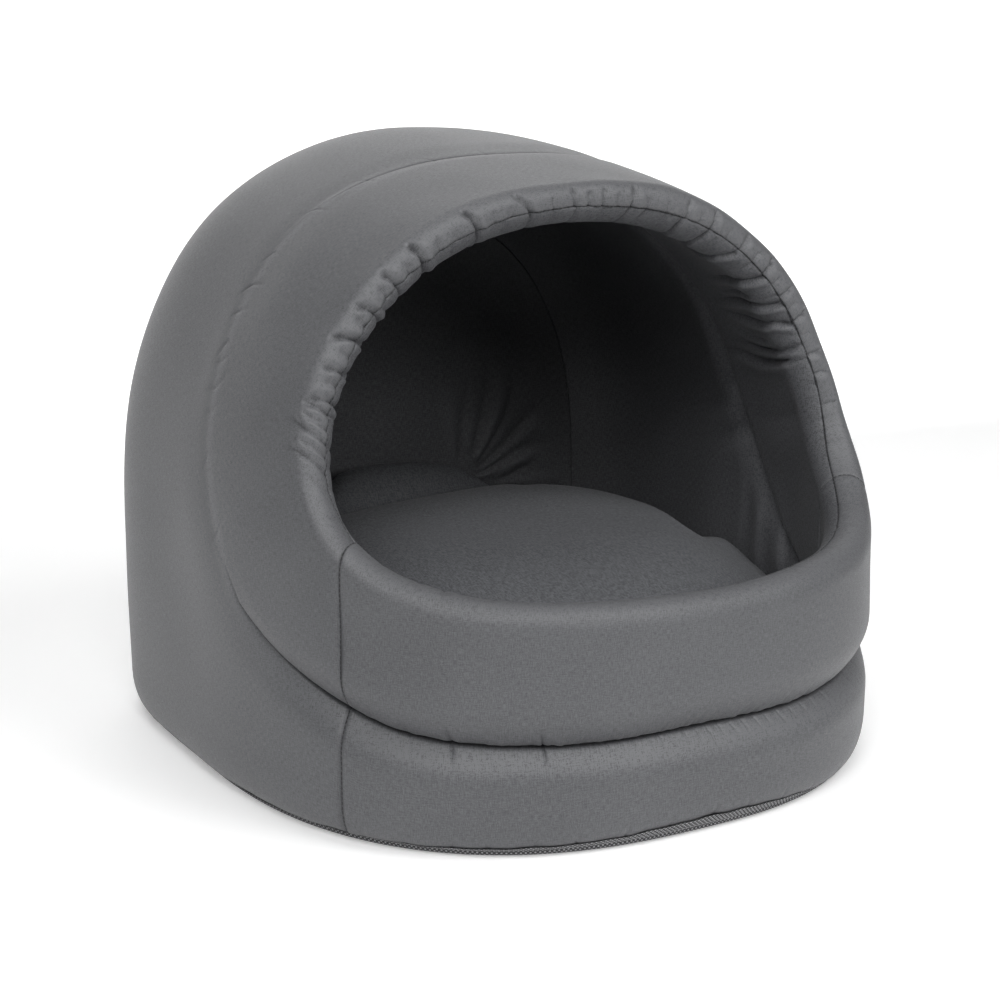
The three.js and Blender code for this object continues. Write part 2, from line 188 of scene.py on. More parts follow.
# The cloth lies flat as the plan's outline by the arch's height, which is how its threads run
planTurns = np.linspace(0, shell["rearSeam"] + 0.1, 600)
planSteps = np.linalg.norm(np.diff(wallPoint(planTurns, 0 * planTurns + 0.2, 0), axis=0), axis=1)
planWays = np.concatenate([[0], np.cumsum(planSteps)])
archRises = np.linspace(0, 1, 600)
archSteps = np.linalg.norm(np.diff(wallPoint(0 * archRises + 1.57, archRises, 0), axis=0), axis=1)
archWays = np.concatenate([[0], np.cumsum(archSteps)])


def clothPlace(place, side, overRidge):
    along = np.interp(place[..., 0], planTurns, planWays)
    up = np.interp(place[..., 1], archRises, archWays)
    if overRidge:
        return np.stack([along, np.where(side < 0, up, 2 * archWays[-1] - up)], axis=-1)
    return np.stack([side * along, up], axis=-1)


class Columns:
    # Columns of a panel run from the rim over the channel seam to the outer edge, and follow each
    # other along the rim from its left end to its right one. They lie closer together at gathers
    samples = 4001
    crowding = 1.6
    crowdReach = 2.6 * mm

    def __init__(self, isHood, count, crowdAt):
        self.isHood = isHood
        dense = np.linspace(-1, 1, self.samples)
        self.build(dense)
        seam = self.rollPoints(np.zeros(1), roll)[:, 0]
        along = np.concatenate([[0], np.cumsum(np.linalg.norm(np.diff(seam, axis=0), axis=1))])
        along -= along[-1] / 2  # 0 at the middle of the rim
        crowd = np.ones(self.samples)
        crowd += self.crowding * sum(bell(along, at * mm, self.crowdReach) for at in crowdAt)
        weight = np.concatenate([[0], np.cumsum(np.diff(along) * crowd[1:])])
        even = np.interp(np.linspace(0, weight[-1], count + 1), weight, dense)
        self.build(even)
        self.along = np.interp(even, dense, along)
        end = along[-1]
        slip = np.ones(len(even))
        if isHood:
            slip = smooth(end - shell["seamSlide"], end, np.abs(self.along))
        self.seamAngle = -shell["lipSeamAngle"] * slip  # where the rim seam lies on the roll

    def build(self, position):
        share = 1 - np.abs(position)
        if self.isHood:
            firstTurn = shell["sideSeam"] + shell["halfSeamGap"]
            starts = [line.shareAtTurn(firstTurn) for line in (rim, channel)]
            self.rim, self.channel = (
                line.at(start + (1 - start) * share) for line, start in zip((rim, channel), starts)
            )
            self.edge = hoodEdge(share, firstTurn)
        else:
            lastTurn = shell["sideSeam"] - shell["halfSeamGap"]
            self.rim, self.channel = (
                line.at(line.shareAtTurn(lastTurn) * np.abs(position)) for line in (rim, channel)
            )
            self.edge = np.stack([lastTurn * np.abs(position), 0 * position + footRise], axis=-1)
        self.side = np.where(position < 0, -1, 1)
        ends = [wallPoint(line[:, 0], line[:, 1], 0) for line in (self.rim, self.channel, self.edge)]
        self.ring = np.linalg.norm(ends[0] - ends[1], axis=1)
        self.body = np.linalg.norm(ends[1] - ends[2], axis=1)

    def place(self, way):
        # Turn and rise at a way from the rim: 0 at the rim, 1 at the channel seam, 2 at the edge
        nearRim = np.minimum(way, 1)[..., None]
        pastChannel = np.maximum(way - 1, 0)[..., None]
        rimEnd, channelEnd, edgeEnd = (line[:, None] for line in (self.rim, self.channel, self.edge))
        return rimEnd + (channelEnd - rimEnd) * nearRim + (edgeEnd - channelEnd) * pastChannel

    def points(self, way, inset):
        place = self.place(way)
        made = wallPoint(place[..., 0], place[..., 1], inset)
        made[..., 0] *= self.side[:, None]
        return made

    def rollPoints(self, angle, radius):
        # Rows of the roll, which turns about a line one radius inside the cloth
        angle = np.broadcast_to(angle, (len(self.side), np.shape(angle)[-1]))
        way = (roll - radius * np.cos(angle)) / self.ring[:, None]
        return self.points(way, roll - radius * np.sin(angle))


def crowded(count, crowding):
    # Steps from 0 to 1 that lie closer together near both ends
    even = np.linspace(0, 1, count + 1)
    return even - crowding * np.sin(2 * math.pi * even) / (2 * math.pi)


def distanceFromEnds(points):
    steps = np.linalg.norm(np.diff(points, axis=0), axis=2)
    fromLeft = np.concatenate([np.zeros((1, points.shape[1])), np.cumsum(steps, axis=0)])
    return np.minimum(fromLeft, fromLeft[-1] - fromLeft)


# Bands of colour by distance from a seam: dark seam lines, partly the thread's own colour and partly
# painted shade in the crease, and bands of painted highlight and painted shade: strength, middle and width
tones = {
    "darkRim": (0.35, 0, 0.6 * mm),
    "darkSides": (0.09, 0, 0.6 * mm),
    "darkFoot": (0.6, 0, 0.9 * mm),
    "darkRear": (0.12, 0, 0.8 * mm),
    "darkBehindRidge": (0.2, -8 * mm, 6 * mm),
    "lightRidge": (0.75, 1 * mm, 3.2 * mm),
    "lightShoulder": (0.65, -9 * mm, 6 * mm),
    "lightRim": (0.5, 10 * mm, 9 * mm),
    "lightLining": (0.25, 0, 50 * mm),
    "lightStrip": (0.25, -12 * mm, 12 * mm),
}
# Dark channel seam line, partly the thread's colour and partly painted shade in the groove: strength at the
# front and over the hood, and its width
channelShade = {
    "front": 0.85,
    "hood": 0.25,
    "width": 0.8 * mm,
}
# Painted shade inside the house: strength, distances from the rim and heights over which it comes in, and
# how fast the lining's painted light strip fades upwards
insideShade = {  # little light gets in under the ridge
    "strength": 0.45,
    "fromRim": (90 * mm, 160 * mm),
    "height": (170 * mm, 260 * mm),
    "stripFade": 150 * mm,
}


def tone(name, distance):
    strength, middle, width = tones[name]
    return strength * bell(distance, middle, width)


class Skin:
    # One skin of a panel as a grid of points, columns by rows, from the rim seam to the outer edge.
    # shape says how far each point is drawn into the padding, and which part of that is creases
    seamHalfGap = 0.011  # angle on the roll that each cloth keeps clear of the rim seam
    crowding = (0.7, 0.82)
    rollSpread = 1.15

    def __init__(self, columns, rows, outward, lift, shape):
        rollRows, ringRows, bodyRows = rows
        sign = 1 if outward else -1
        first = columns.seamAngle[:, None] + sign * self.seamHalfGap
        turned = np.linspace(0, 1, rollRows + 1) ** self.rollSpread
        angle = first + (sign * math.pi / 2 - first) * turned
        start = roll / columns.ring[:, None]
        ringWay = start + (1 - start) * crowded(ringRows, self.crowding[0])[1:]
        bodyWay = 1 + crowded(bodyRows, self.crowding[1])[1:]
        bodyWay = np.broadcast_to(bodyWay, (len(columns.side), bodyRows))
        flatWay = np.concatenate([ringWay, bodyWay], axis=1)
        rollWay = (roll - roll * np.cos(angle)) / columns.ring[:, None]
        ring = columns.ring[:, None]
        body = columns.body[:, None]
        quarter = roll * np.abs(sign * math.pi / 2 - columns.seamAngle[:, None])
        flatDistance = np.where(
            flatWay < 1, quarter + (flatWay - start) * ring, quarter + ring - roll + (flatWay - 1) * body,
        )
        self.columns = columns
        self.channelRow = rollRows + ringRows
        self.way = np.concatenate([rollWay, flatWay], axis=1)
        self.side = np.broadcast_to(columns.side[:, None], self.way.shape)
        rolled = np.abs(angle - columns.seamAngle[:, None]) * roll
        self.distance = np.concatenate([rolled, flatDistance], axis=1)
        self.along = np.broadcast_to(columns.along[:, None], self.way.shape)
        self.fromChannel = np.where(self.way < 1, (1 - self.way) * ring, (self.way - 1) * body)
        self.place = columns.place(self.way)
        self.floorHeight = wallPoint(self.place[..., 0], self.place[..., 1], 0)[..., 2]
        self.cloth = clothPlace(self.place, self.side, columns.isHood)
        heading = clothPlace(columns.channel, columns.side, columns.isHood)
        heading = heading - clothPlace(columns.rim, columns.side, columns.isHood)
        heading /= np.linalg.norm(heading, axis=1)[:, None]
        spare = np.minimum(self.distance - np.minimum(self.way * ring, self.distance), quarter - roll)
        self.cloth = self.cloth + heading[:, None] * spare[..., None]
        self.fromSides = distanceFromEnds(self.lay(angle, flatWay, sign, lift, np.zeros(self.way.shape)))
        self.depth, self.folds = shape(self)
        self.points = self.lay(angle, flatWay, sign, lift, self.depth)
        self.outward = self.lay(angle, flatWay, sign, lift, self.depth - mm) - self.points
        self.outward /= np.linalg.norm(self.outward, axis=2)[..., None]
        # Dark seam lines, partly painted shade in the crease, and painted shade inside the house
        self.seamed = self.paintSeamsAndShade(outward)
        # Painted highlight and painted shade bands, kept per point for the cloth's colour
        self.paintedLight = self.paintLightBands(outward)

    def paintSeamsAndShade(self, outward):
        # Dark lines beside the seams, partly the thread's own colour and partly painted shade in the
        # crease, and painted shade inside the house under the ridge
        fade = grooveFade(self) if outward else 0
        strength = channelShade["front"] + (channelShade["hood"] - channelShade["front"]) * fade
        lines = [
            tone("darkRim", self.distance),
            strength * bell(self.fromChannel, 0, channelShade["width"]),
            tone("darkSides", self.fromSides),
        ]
        if outward:
            lines[1] = lines[1] * (1 - onSide(self))
            fromFoot = self.floorHeight - baseSeamHeight(self.place[..., 0] * self.side)
            lines.append(tone("darkFoot", fromFoot))
            return np.maximum.reduce(lines)
        # Painted shade deep inside the house, high up under the ridge
        inside = smooth(*insideShade["fromRim"], self.distance)
        inside = inside * smooth(*insideShade["height"], self.floorHeight)
        return 1 - (1 - np.maximum.reduce(lines)) * (1 - insideShade["strength"] * inside)

    def paintLightBands(self, outward):
        # Painted highlight over the rim's roll, on the lip's lower bolster below the groove, and as a ridge
        # along the channel at the sides with painted shade behind it; on a lining, painted light near the
        # rim and on a low strip
        ahead = np.where(self.way < 1, self.fromChannel, -self.fromChannel)
        if not outward:
            strip = tone("lightStrip", ahead) * np.exp(-self.floorHeight / insideShade["stripFade"])
            return tone("lightLining", self.distance) + strip
        shoulder = tone("lightShoulder", ahead) * (1 - grooveFade(self))
        ridge = onSide(self) * (tone("lightRidge", ahead) - tone("darkBehindRidge", ahead))
        return tone("lightRim", self.distance) + shoulder + ridge

    def lay(self, angle, flatWay, sign, lift, depth):
        count = angle.shape[1]
        rolled = self.columns.rollPoints(angle, roll - lift - depth[:, :count])
        full = 0 if sign > 0 else wall
        inset = full + sign * (lift + depth[:, count:])
        return np.concatenate([rolled, self.columns.points(flatWay, inset)], axis=1)


def tubeFaces(loops, size, capStep):
    # Quads between neighbouring loops of points, with a cap over the first and the last
    index = np.arange(loops * size).reshape(loops, size)
    after = np.roll(index, -1, axis=1)
    quads = np.stack([index[:-1], index[1:], after[1:], after[:-1]], axis=-1).reshape(-1, 4)
    return quads.tolist() + [index[0, ::capStep].tolist(), index[-1, ::-capStep].tolist()]


def joinSkins(front, back):
    # A closed slab: the front skin's rows and then the back skin's in the other direction make one
    # loop a column
    def both(name):
        return np.concatenate([getattr(front, name), getattr(back, name)[:, ::-1]], axis=1)

    points = both("points")
    return {
        "points": points.reshape(-1, 3),
        "faces": tubeFaces(*points.shape[:2], 1),
        "cloth": both("cloth").reshape(-1, 2),
        "folds": both("folds").reshape(-1) / mm,
        "seamed": both("seamed").reshape(-1),
        "paintedLight": both("paintedLight").reshape(-1),
    }


def addPiece(name, points, faces, cloth=None, **attributes):
    mesh = bpy.data.meshes.new(name)
    mesh.from_pydata(np.asarray(points).tolist(), [], faces)
    if cloth is not None:
        corners = np.zeros(len(mesh.loops), np.int32)
        mesh.loops.foreach_get("vertex_index", corners)
        layer = mesh.uv_layers.new(name="cloth")
        layer.uv.foreach_set("vector", np.asarray(cloth, np.float32)[corners].ravel())
    for key, values in attributes.items():
        layer = mesh.attributes.new(key, "FLOAT", "POINT")
        layer.data.foreach_set("value", np.asarray(values, np.float32))
    made = bmesh.new()
    made.from_mesh(mesh)
    bmesh.ops.recalc_face_normals(made, faces=made.faces)
    if made.calc_volume(signed=True) < 0:
        bmesh.ops.reverse_faces(made, faces=made.faces)
    made.to_mesh(mesh)
    made.free()
    mesh.polygons.foreach_set("use_smooth", [True] * len(mesh.polygons))
    piece = bpy.data.objects.new(name, mesh)
    scene.collection.objects.link(piece)
    return piece


class Shade:
    # Wraps a socket, so that shader maths is written as sums
    def __init__(self, finish, socket):
        self.finish = finish
        self.socket = socket

    def maths(self, operation, *values):
        return self.finish.node("ShaderNodeMath", {"operation": operation}, *values)

    def __add__(self, other):
        return self.maths("ADD", self, other)

    def __radd__(self, other):
        return self.maths("ADD", other, self)

    def __sub__(self, other):
        return self.maths("SUBTRACT", self, other)

    def __rsub__(self, other):
        return self.maths("SUBTRACT", other, self)

    def __mul__(self, other):
        return self.maths("MULTIPLY", self, other)

    def __rmul__(self, other):
        return self.maths("MULTIPLY", other, self)

    def __truediv__(self, other):
        return self.maths("DIVIDE", self, other)

    def clamped(self):
        return self.maths("MINIMUM", self.maths("MAXIMUM", self, 0.0), 1.0)

    def sine(self):
        return self.maths("SINE", self)


class Finish:
    # A material, built from nodes
    def __init__(self, name):
        self.material = bpy.data.materials.new(name)
        self.material.use_nodes = True
        self.tree = self.material.node_tree
        self.tree.nodes.clear()

    def node(self, kind, settings, *inputs, out=0, **named):
        made = self.tree.nodes.new(kind)
        for key, value in settings.items():
            setattr(made, key, value)
        sockets = list(zip(made.inputs, inputs)) + [(made.inputs[key], named[key]) for key in named]
        for socket, value in sockets:
            if isinstance(value, Shade):
                self.tree.links.new(value.socket, socket)
            else:
                socket.default_value = value
        return Shade(self, made.outputs[out]) if made.outputs else None

    def clothPlace(self):
        place = self.node("ShaderNodeUVMap", {"uv_map": "cloth"})
        u = self.node("ShaderNodeSeparateXYZ", {}, place)
        return u, Shade(self, u.socket.node.outputs[1]), 0.0

    def objectPlace(self):
        place = self.node("ShaderNodeTexCoord", {}, out=3)
        x = self.node("ShaderNodeSeparateXYZ", {}, place)
        return x, Shade(self, x.socket.node.outputs[1]), Shade(self, x.socket.node.outputs[2])

    def attribute(self, name):
        return self.node("ShaderNodeAttribute", {"attribute_name": name}, out=2)

    def noise(self, x, y, z=0.0):
        place = self.node("ShaderNodeCombineXYZ", {}, x, y, z)
        return self.node("ShaderNodeTexNoise", {}, Vector=place, Scale=1.0, Detail=2.0)

    def tint(self, dark, light, factor):
        made = self.tree.nodes.new("ShaderNodeMix")
        made.data_type = "RGBA"
        self.tree.links.new(factor.socket, made.inputs[0])
        colours = [socket for socket in made.inputs if socket.type == "RGBA"]
        for socket, colour in zip(colours, (dark, light)):
            if isinstance(colour, Shade):
                self.tree.links.new(colour.socket, socket)
            else:
                socket.default_value = (*colour, 1)
        return Shade(self, next(socket for socket in made.outputs if socket.type == "RGBA"))

    def done(self, **sockets):
        shader = self.node("ShaderNodeBsdfPrincipled", {}, **sockets)
        self.node("ShaderNodeOutputMaterial", {}, shader)
        return self.material


weave = {
    "thread": 0.42 * mm,  # distance between threads
    "slub": 0.55 * mm,  # width of a thick thread
    "slubLength": 3.4 * mm,
    "grain": 0.5 * mm,
    "patch": 60 * mm,
    "shares": (1.7, 1.5, 1.5, 0.15),  # of warp, weft, grain and threads in the tone
    "patchShare": 0.3,
    "heights": (0.2, 0.15, 0.5, 0.12),  # the same four in the bump
    "threadsInPaintedLight": 2.6,  # threads show this much more where the painted highlight lies
    # painted shade in creases and painted highlight on ridges, per mm of fold depth
    "paintedFoldShade": 0.22,
    # near-black colour of the seam lines and of the painted shade
    "seamAndShadeColour": (0.006, 0.006, 0.007),
}


def wovenFinish(name, dark, light, roughness, contrast, onUv=True):
    finish = Finish(name)
    u, v, w = finish.clothPlace() if onUv else finish.objectPlace()
    slub, slubLength, grainSize, patchSize = (weave[k] for k in ("slub", "slubLength", "grain", "patch"))
    depth = [0.0 if onUv else w / size for size in (slubLength, slub, grainSize, patchSize)]
    warp = finish.noise(u / slub, v / slubLength, depth[0]) - 0.5
    weft = finish.noise(u / slubLength, v / slub, depth[1] + 7.0) - 0.5
    grain = finish.noise(u / grainSize, v / grainSize, depth[2] + 3.0) - 0.5
    patch = finish.noise(u / patchSize, v / patchSize, depth[3] + 5.0) - 0.5
    pull = math.pi / weave["thread"]
    threads = (u * pull).sine() * ((v + w) * pull).sine()
    a, b, c, d = weave["shares"]
    uneven = contrast * (a * warp + b * weft + c * grain + d * threads) + weave["patchShare"] * patch
    shade = 0.5 + uneven
    if onUv:
        # Painted highlight and painted shade, kept as an attribute of the cloth, where the threads also
        # show more;
        # creases get painted shade and ridges a painted highlight from the fold depth
        paintedLight = finish.attribute("paintedLight")
        folds = weave["paintedFoldShade"] * finish.attribute("folds")
        shade = 0.5 + uneven * (1.0 + weave["threadsInPaintedLight"] * paintedLight) + paintedLight - folds
    colour = finish.tint(dark, light, shade.clamped())
    if onUv:
        # Near-black seam lines, partly the thread's colour and partly painted shade, and painted shade
        # inside the house
        colour = finish.tint(weave["seamAndShadeColour"], colour, (1.0 - finish.attribute("seamed")).clamped())
    a, b, c, d = weave["heights"]
    height = a * warp + b * weft + c * grain + d * threads
    bump = finish.node("ShaderNodeBump", {}, Strength=0.5, Distance=0.35 * mm, Height=height)
    return finish.done(**{
        "Base Color": colour,
        "Roughness": (roughness - 0.1 * uneven).clamped(),
        "Normal": bump,
        "Sheen Weight": 0.08,
        "Sheen Roughness": 0.4,
        "Specular IOR Level": 0.5,
    })


def threadFinish(name, dark, light):
    finish = Finish(name)
    place = finish.node("ShaderNodeTexCoord", {}, out=3)
    twist = finish.node("ShaderNodeTexNoise", {}, Vector=place, Scale=1400.0, Detail=1.0)
    bump = finish.node("ShaderNodeBump", {}, Strength=0.3, Distance=0.1 * mm, Height=twist)
    return finish.done(**{"Base Color": finish.tint(dark, light, twist), "Roughness": 0.8, "Normal": bump})


grip = {
    "pitch": 1.3 * mm,  # distance between dots
    "mottle": 1.2 * mm,
}


def gripFinish(name):
    # A coarse dark weave with rows of small light dots
    finish = Finish(name)
    u, v, _ = finish.clothPlace()
    pull = math.pi / grip["pitch"]
    dots = (u * pull).sine() * (v * pull).sine()
    mottle = finish.noise(u / grip["mottle"], v / grip["mottle"])
    light = (2.2 * dots + 1.4 * (mottle - 0.5)).clamped()
    bump = finish.node("ShaderNodeBump", {}, Strength=0.6, Distance=0.4 * mm, Height=light)
    return finish.done(**{
        "Base Color": finish.tint((0.045, 0.045, 0.047), (0.32, 0.32, 0.33), light),
        "Roughness": 0.9 - 0.15 * light,
        "Normal": bump,
    })


finishes = {
    "outer_cloth": wovenFinish("outerCloth", (0.060, 0.061, 0.066), (0.124, 0.126, 0.133), 0.5, 0.85),
    "lining_cloth": wovenFinish("liningCloth", (0.056, 0.057, 0.062), (0.118, 0.120, 0.128), 0.58, 1.8),
    "cushion_cloth": wovenFinish(
        "cushionCloth", (0.054, 0.056, 0.061), (0.112, 0.115, 0.123), 0.65, 1.8, False,
    ),
    "grip_cloth": gripFinish("gripCloth"),
}
seamThread = threadFinish("seamThread", (0.012, 0.012, 0.013), (0.035, 0.035, 0.037))
print("finishes made")


def settle(piece, slot, *nodes, material=None):
    # Every piece rides on the one body, and most stand for a solid
    piece.data.materials.clear()
    piece.data.materials.append(material or finishes[slot])
    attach(piece, "root")
    if nodes:
        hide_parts(*nodes)


# How far the cloth is drawn in at each seam, and the reach over which the padding swells back
seams = {
    "frontGroove": 11.5 * mm,
    "frontPowers": (2.1, 1.7),  # above the groove and below it
    "frontSlit": 2.2 * mm,
    "slitWidth": 0.9 * mm,
    "hoodGroove": 2.2 * mm,
    "grooveFade": (0.85, 1.35),  # turns between which the groove gets shallower and softer
    "reachAbove": 26 * mm,
    "reachBelow": 25 * mm,
    "softAbove": 13 * mm,
    "softBelow": 34 * mm,
    "sag": 3 * mm,
    "unevenEdge": 0.7 * mm,
    "sideRidge": 1.5 * mm,
    "baseTuck": 10 * mm,
    "baseTuckReach": 24 * mm,
    "rearTuck": 4 * mm,
    "rearTuckReach": 20 * mm,
    "liningDip": (2 * mm, 8 * mm),  # at the lip and over the hood
    "dipAbove": 9 * mm,
    "dipBelow": 21 * mm,
    "sideTuck": 0.3 * mm,
    "sideTuckReach": 1.1 * mm,
    "rimTuck": 0.5 * mm,
    "rimTuckReach": 2 * mm,
}


def tuck(distance, depth, reach):
    left = 1 - np.clip(distance / reach, 0, 1)
    return depth * (1 - np.sqrt(1 - left * left))


def waves(x, y, length, seed):
    # Smooth uneven waves, about as long as length and from about -1 to 1
    made = np.zeros(np.broadcast(x, y).shape)
    for heading, phase, scale in np.random.default_rng(seed).random((7, 3)):
        pull = 2 * math.pi / (length * (0.7 + 0.7 * scale))
        way = x * math.cos(2 * math.pi * heading) + y * math.sin(2 * math.pi * heading)
        made += np.sin(way * pull + 2 * math.pi * phase)
    return made / 3


def pinches(along, distance, table):
    # Gathers: padded cloth drawn in to a sharp line at a seam, less and less away from it, with a
    # pocket near the line's end and a ridge beside it.
    # A row is the place along the seam, reach and depth in mm, and lean
    table = {"skew": 0, "fading": 1.0, "pocket": 0, "ridge": 0, **table}
    made = np.zeros(along.shape)
    extra = np.zeros(along.shape)
    for at, reach, depth, lean in table["rows"]:
        far = distance / (reach * mm)
        share = np.clip(far, 0, 1)
        off = along - at * mm - lean * distance
        width = table["width"] * (0.6 + 0.9 * share)
        width = width * np.where(off > 0, 1 + table["skew"], 1 - table["skew"])
        fading = (1 - share) ** table["fading"]
        made = np.maximum(made, depth * mm * fading * tuck(np.abs(off), 1, width))
        spread = off / table["width"]
        hollow = bell(far, 0.72, 0.22) * bell(spread, 0, 0.42)
        ridge = (1 - share) * bell(spread, 1.25, 0.6)
        extra += depth * mm * (table["pocket"] * hollow - table["ridge"] * ridge)
    return made + extra


def wrinkles(along, distance, rows):
    # Long soft troughs laid one by one, each with a low ridge beside it. A row is depth and width in
    # mm, the side that the ridge lies on, and points: place along the rim and distance from it
    made = np.zeros(along.shape)
    for depth, width, ridgeSide, path in rows:
        places, distances = np.array(path).T * mm
        off = (along - np.interp(distance, distances, places)) * ridgeSide / (width * mm)
        first, last = distances[0], distances[-1]
        starts = smooth(first - 6 * mm, first + 2 * mm, distance)
        ends = 1 - smooth(first + 0.4 * (last - first), last + 4 * mm, distance)
        profile = np.exp(-np.abs(off) * np.where(off > 0, 1.9, 0.8)) - 0.5 * bell(off, 2.0, 1.1)
        made += depth * mm * starts * ends * profile
    return made


# Gathers on the hood's roll, outside the rim seam
outerGathers = {
    "width": 4.2 * mm,
    "skew": 0.3,
    "fading": 0.7,
    "pocket": 0.55,
    "ridge": 0.45,
    "rows": [
        (-270, 12, 0.6, 0.2), (-254, 14, 0.9, 0.6), (-244, 24, 2.4, 0.7), (-236, 18, 1.7, 0.6),
        (-229, 25, 2.6, 0.6), (-221, 18, 1.9, 0.5), (-212, 20, 2.8, 0.3), (-205, 17, 3.4, 0.0),
        (-196, 9, 1.3, 0.1), (-188, 13, 2.7, -0.1), (-178, 8, 1.2, 0.0), (-168, 17, 3.9, -0.3),
        (-159, 8, 1.3, 0.1), (-150, 14, 3.0, -0.2), (-139, 9, 1.4, 0.1), (-130, 15, 3.1, -0.1),
        (-120, 8, 1.2, 0.1), (-110, 17, 4.2, 0.0), (-98, 8, 1.3, 0.2), (-86, 7, 0.9, 0.1),
        (-72, 17, 3.9, -0.2), (-60, 8, 1.0, 0.1), (-48, 7, 0.9, 0.0), (-36, 15, 3.0, -0.5),
        (-21, 8, 1.0, 0.0), (-6, 15, 2.5, 0.0), (3, 11, 1.6, 0.1), (12, 13, 2.0, 0.1),
        (22, 8, 1.0, 0.0), (32, 15, 3.0, 0.1), (43, 8, 1.0, 0.1), (57, 8, 1.1, 0.0), (72, 13, 2.3, 0.0),
        (82, 8, 1.0, 0.1), (92, 15, 2.6, 0.0), (105, 8, 1.1, 0.1), (118, 14, 2.5, 0.1),
        (130, 9, 1.4, 0.1), (142, 16, 3.3, 0.0), (152, 8, 1.3, 0.1), (162, 13, 2.3, 0.1),
        (172, 8, 1.2, 0.0), (181, 15, 2.8, 0.0), (192, 8, 1.0, 0.1), (205, 14, 2.4, 0.1),
        (218, 14, 2.2, 0.0), (238, 12, 1.5, 0.0), (262, 10, 1.0, 0.0),
    ],
}

# Short puckers along the channel seam, in the hood's columns
channelPuckers = {
    "width": 3 * mm,
    "rows": [
        (-262, 10, 0.6, 0.2), (-236, 12, 0.6, 0.2), (-214, 10, 0.6, -0.2), (-203, 12, 0.8, 0.3),
        (-196, 16, 1.2, 0.3), (-188, 10, 0.9, 0.3), (-181, 14, 1.3, -0.2), (-170, 12, 1.0, 0.2),
        (-158, 16, 1.2, 0.1), (-141, 10, 0.7, -0.2), (-112, 12, 0.7, 0.1), (-84, 10, 0.5, 0.1),
        (-47, 10, 0.5, -0.1), (-15, 12, 0.5, 0.1), (24, 10, 0.5, 0.0), (61, 12, 0.6, -0.1),
        (98, 10, 0.6, 0.1), (133, 14, 0.8, 0.2), (157, 14, 1.1, -0.2), (174, 12, 1.0, 0.2),
        (192, 14, 0.9, -0.1), (221, 10, 0.6, 0.1), (250, 10, 0.6, 0.1),
    ],
}

# Hood: one padded panel, gathered over its roll, with a channel sewn through it
hood = {
    "columns": 760,
    "rows": (22, 26, 44),  # on the roll, on the strip up to the channel, and past it
    "hiddenRows": (3, 3, 5),
    "hiddenLift": 12.5 * mm,
    "puff": 0.6 * mm,
    "sway": 0.7 * mm,
}

# The sheet under the house comes up to a seam whose height changes along the front: signed turn, mm
baseSeamRows = [
    (-1.0, 4.6), (-0.75, 5.2), (-0.55, 6.0), (-0.29, 7.3), (-0.13, 9.2), (0.0, 10.0),
    (0.12, 9.7), (0.3, 7.8), (0.42, 5.6), (0.6, 4.2),
]
seamNotch = 1.9 * mm


def baseSeamHeight(signedTurn):
    turns, heights = np.array(baseSeamRows).T
    wobble = 0.25 * np.sin(signedTurn * 61) + 0.2 * np.sin(signedTurn * 37 + 1)
    return (np.interp(signedTurn, turns, heights) + wobble) * mm


# Small puckers where the walls meet the base sheet: place along the plan's outline
footPuckers = {
    "width": 3.2 * mm,
    "rows": [
        (-246, 9, 0.8, 0.3), (-204, 8, 1.0, 0.3), (-178, 10, 0.9, -0.2), (-151, 9, 1.3, 0.2),
        (-131, 8, 1.0, 0.2), (-104, 10, 1.2, -0.3), (-81, 8, 0.9, 0.2), (-52, 9, 1.2, 0.2),
        (-24, 8, 1.0, 0.3), (6, 10, 1.2, 0.2), (31, 8, 0.9, -0.2), (58, 9, 1.1, 0.3), (86, 8, 0.9, 0.2),
        (118, 10, 1.0, 0.2), (163, 9, 0.8, 0.2), (212, 9, 0.8, 0.2), (264, 10, 0.8, -0.2),
        (-300, 10, 0.9, 0.2), (-352, 10, 0.8, 0.2),
    ],
}


def grooveFade(skin):
    return smooth(*seams["grooveFade"], skin.columns.channel[:, 0])[:, None]


def onSide(skin):
    # 1 where the channel runs up the side of the hood, where it pulls the cloth to a low ridge
    rise = skin.columns.channel[:, 1][:, None]
    return smooth(0.24, 0.34, rise) * (1 - smooth(0.62, 0.94, rise))


def channelTuck(skin):
    # Deep and sharp between the lip's bolsters, shallow and soft over the hood
    fade = grooveFade(skin)
    side = onSide(skin)
    above = skin.way < 1
    left = 1 - np.clip(skin.fromChannel / np.where(above, seams["reachAbove"], seams["reachBelow"]), 0, 1)
    deep = seams["frontGroove"] * left ** np.where(above, *seams["frontPowers"])
    deep += seams["frontSlit"] * bell(skin.fromChannel, 0, seams["slitWidth"])
    softReach = np.where(above, seams["softAbove"], seams["softBelow"])
    soft = tuck(skin.fromChannel, 0.4, 5 * mm) + 0.6 * (1 - smooth(0, 1, skin.fromChannel / softReach))
    ridge = seams["sideRidge"] * side * bell(skin.fromChannel, 0, 5 * mm)
    return deep + (seams["hoodGroove"] * soft * (1 - side) - deep) * fade - ridge


def sagOverGroove(skin):
    # The cloth sags round the groove, and its edge along the seam is uneven
    broad = bell(skin.fromChannel, 0, 13 * mm)
    close = bell(skin.fromChannel, 2.5 * mm, 2.5 * mm) * (skin.way < 1)
    uneven = 0.5 * waves(skin.along, 0, 9 * mm, 31) + 0.5 * waves(skin.along, 0, 24 * mm, 32)
    sag = seams["sag"] * broad + seams["unevenEdge"] * uneven * close
    skin.points[..., 2] -= sag * (1 - grooveFade(skin))


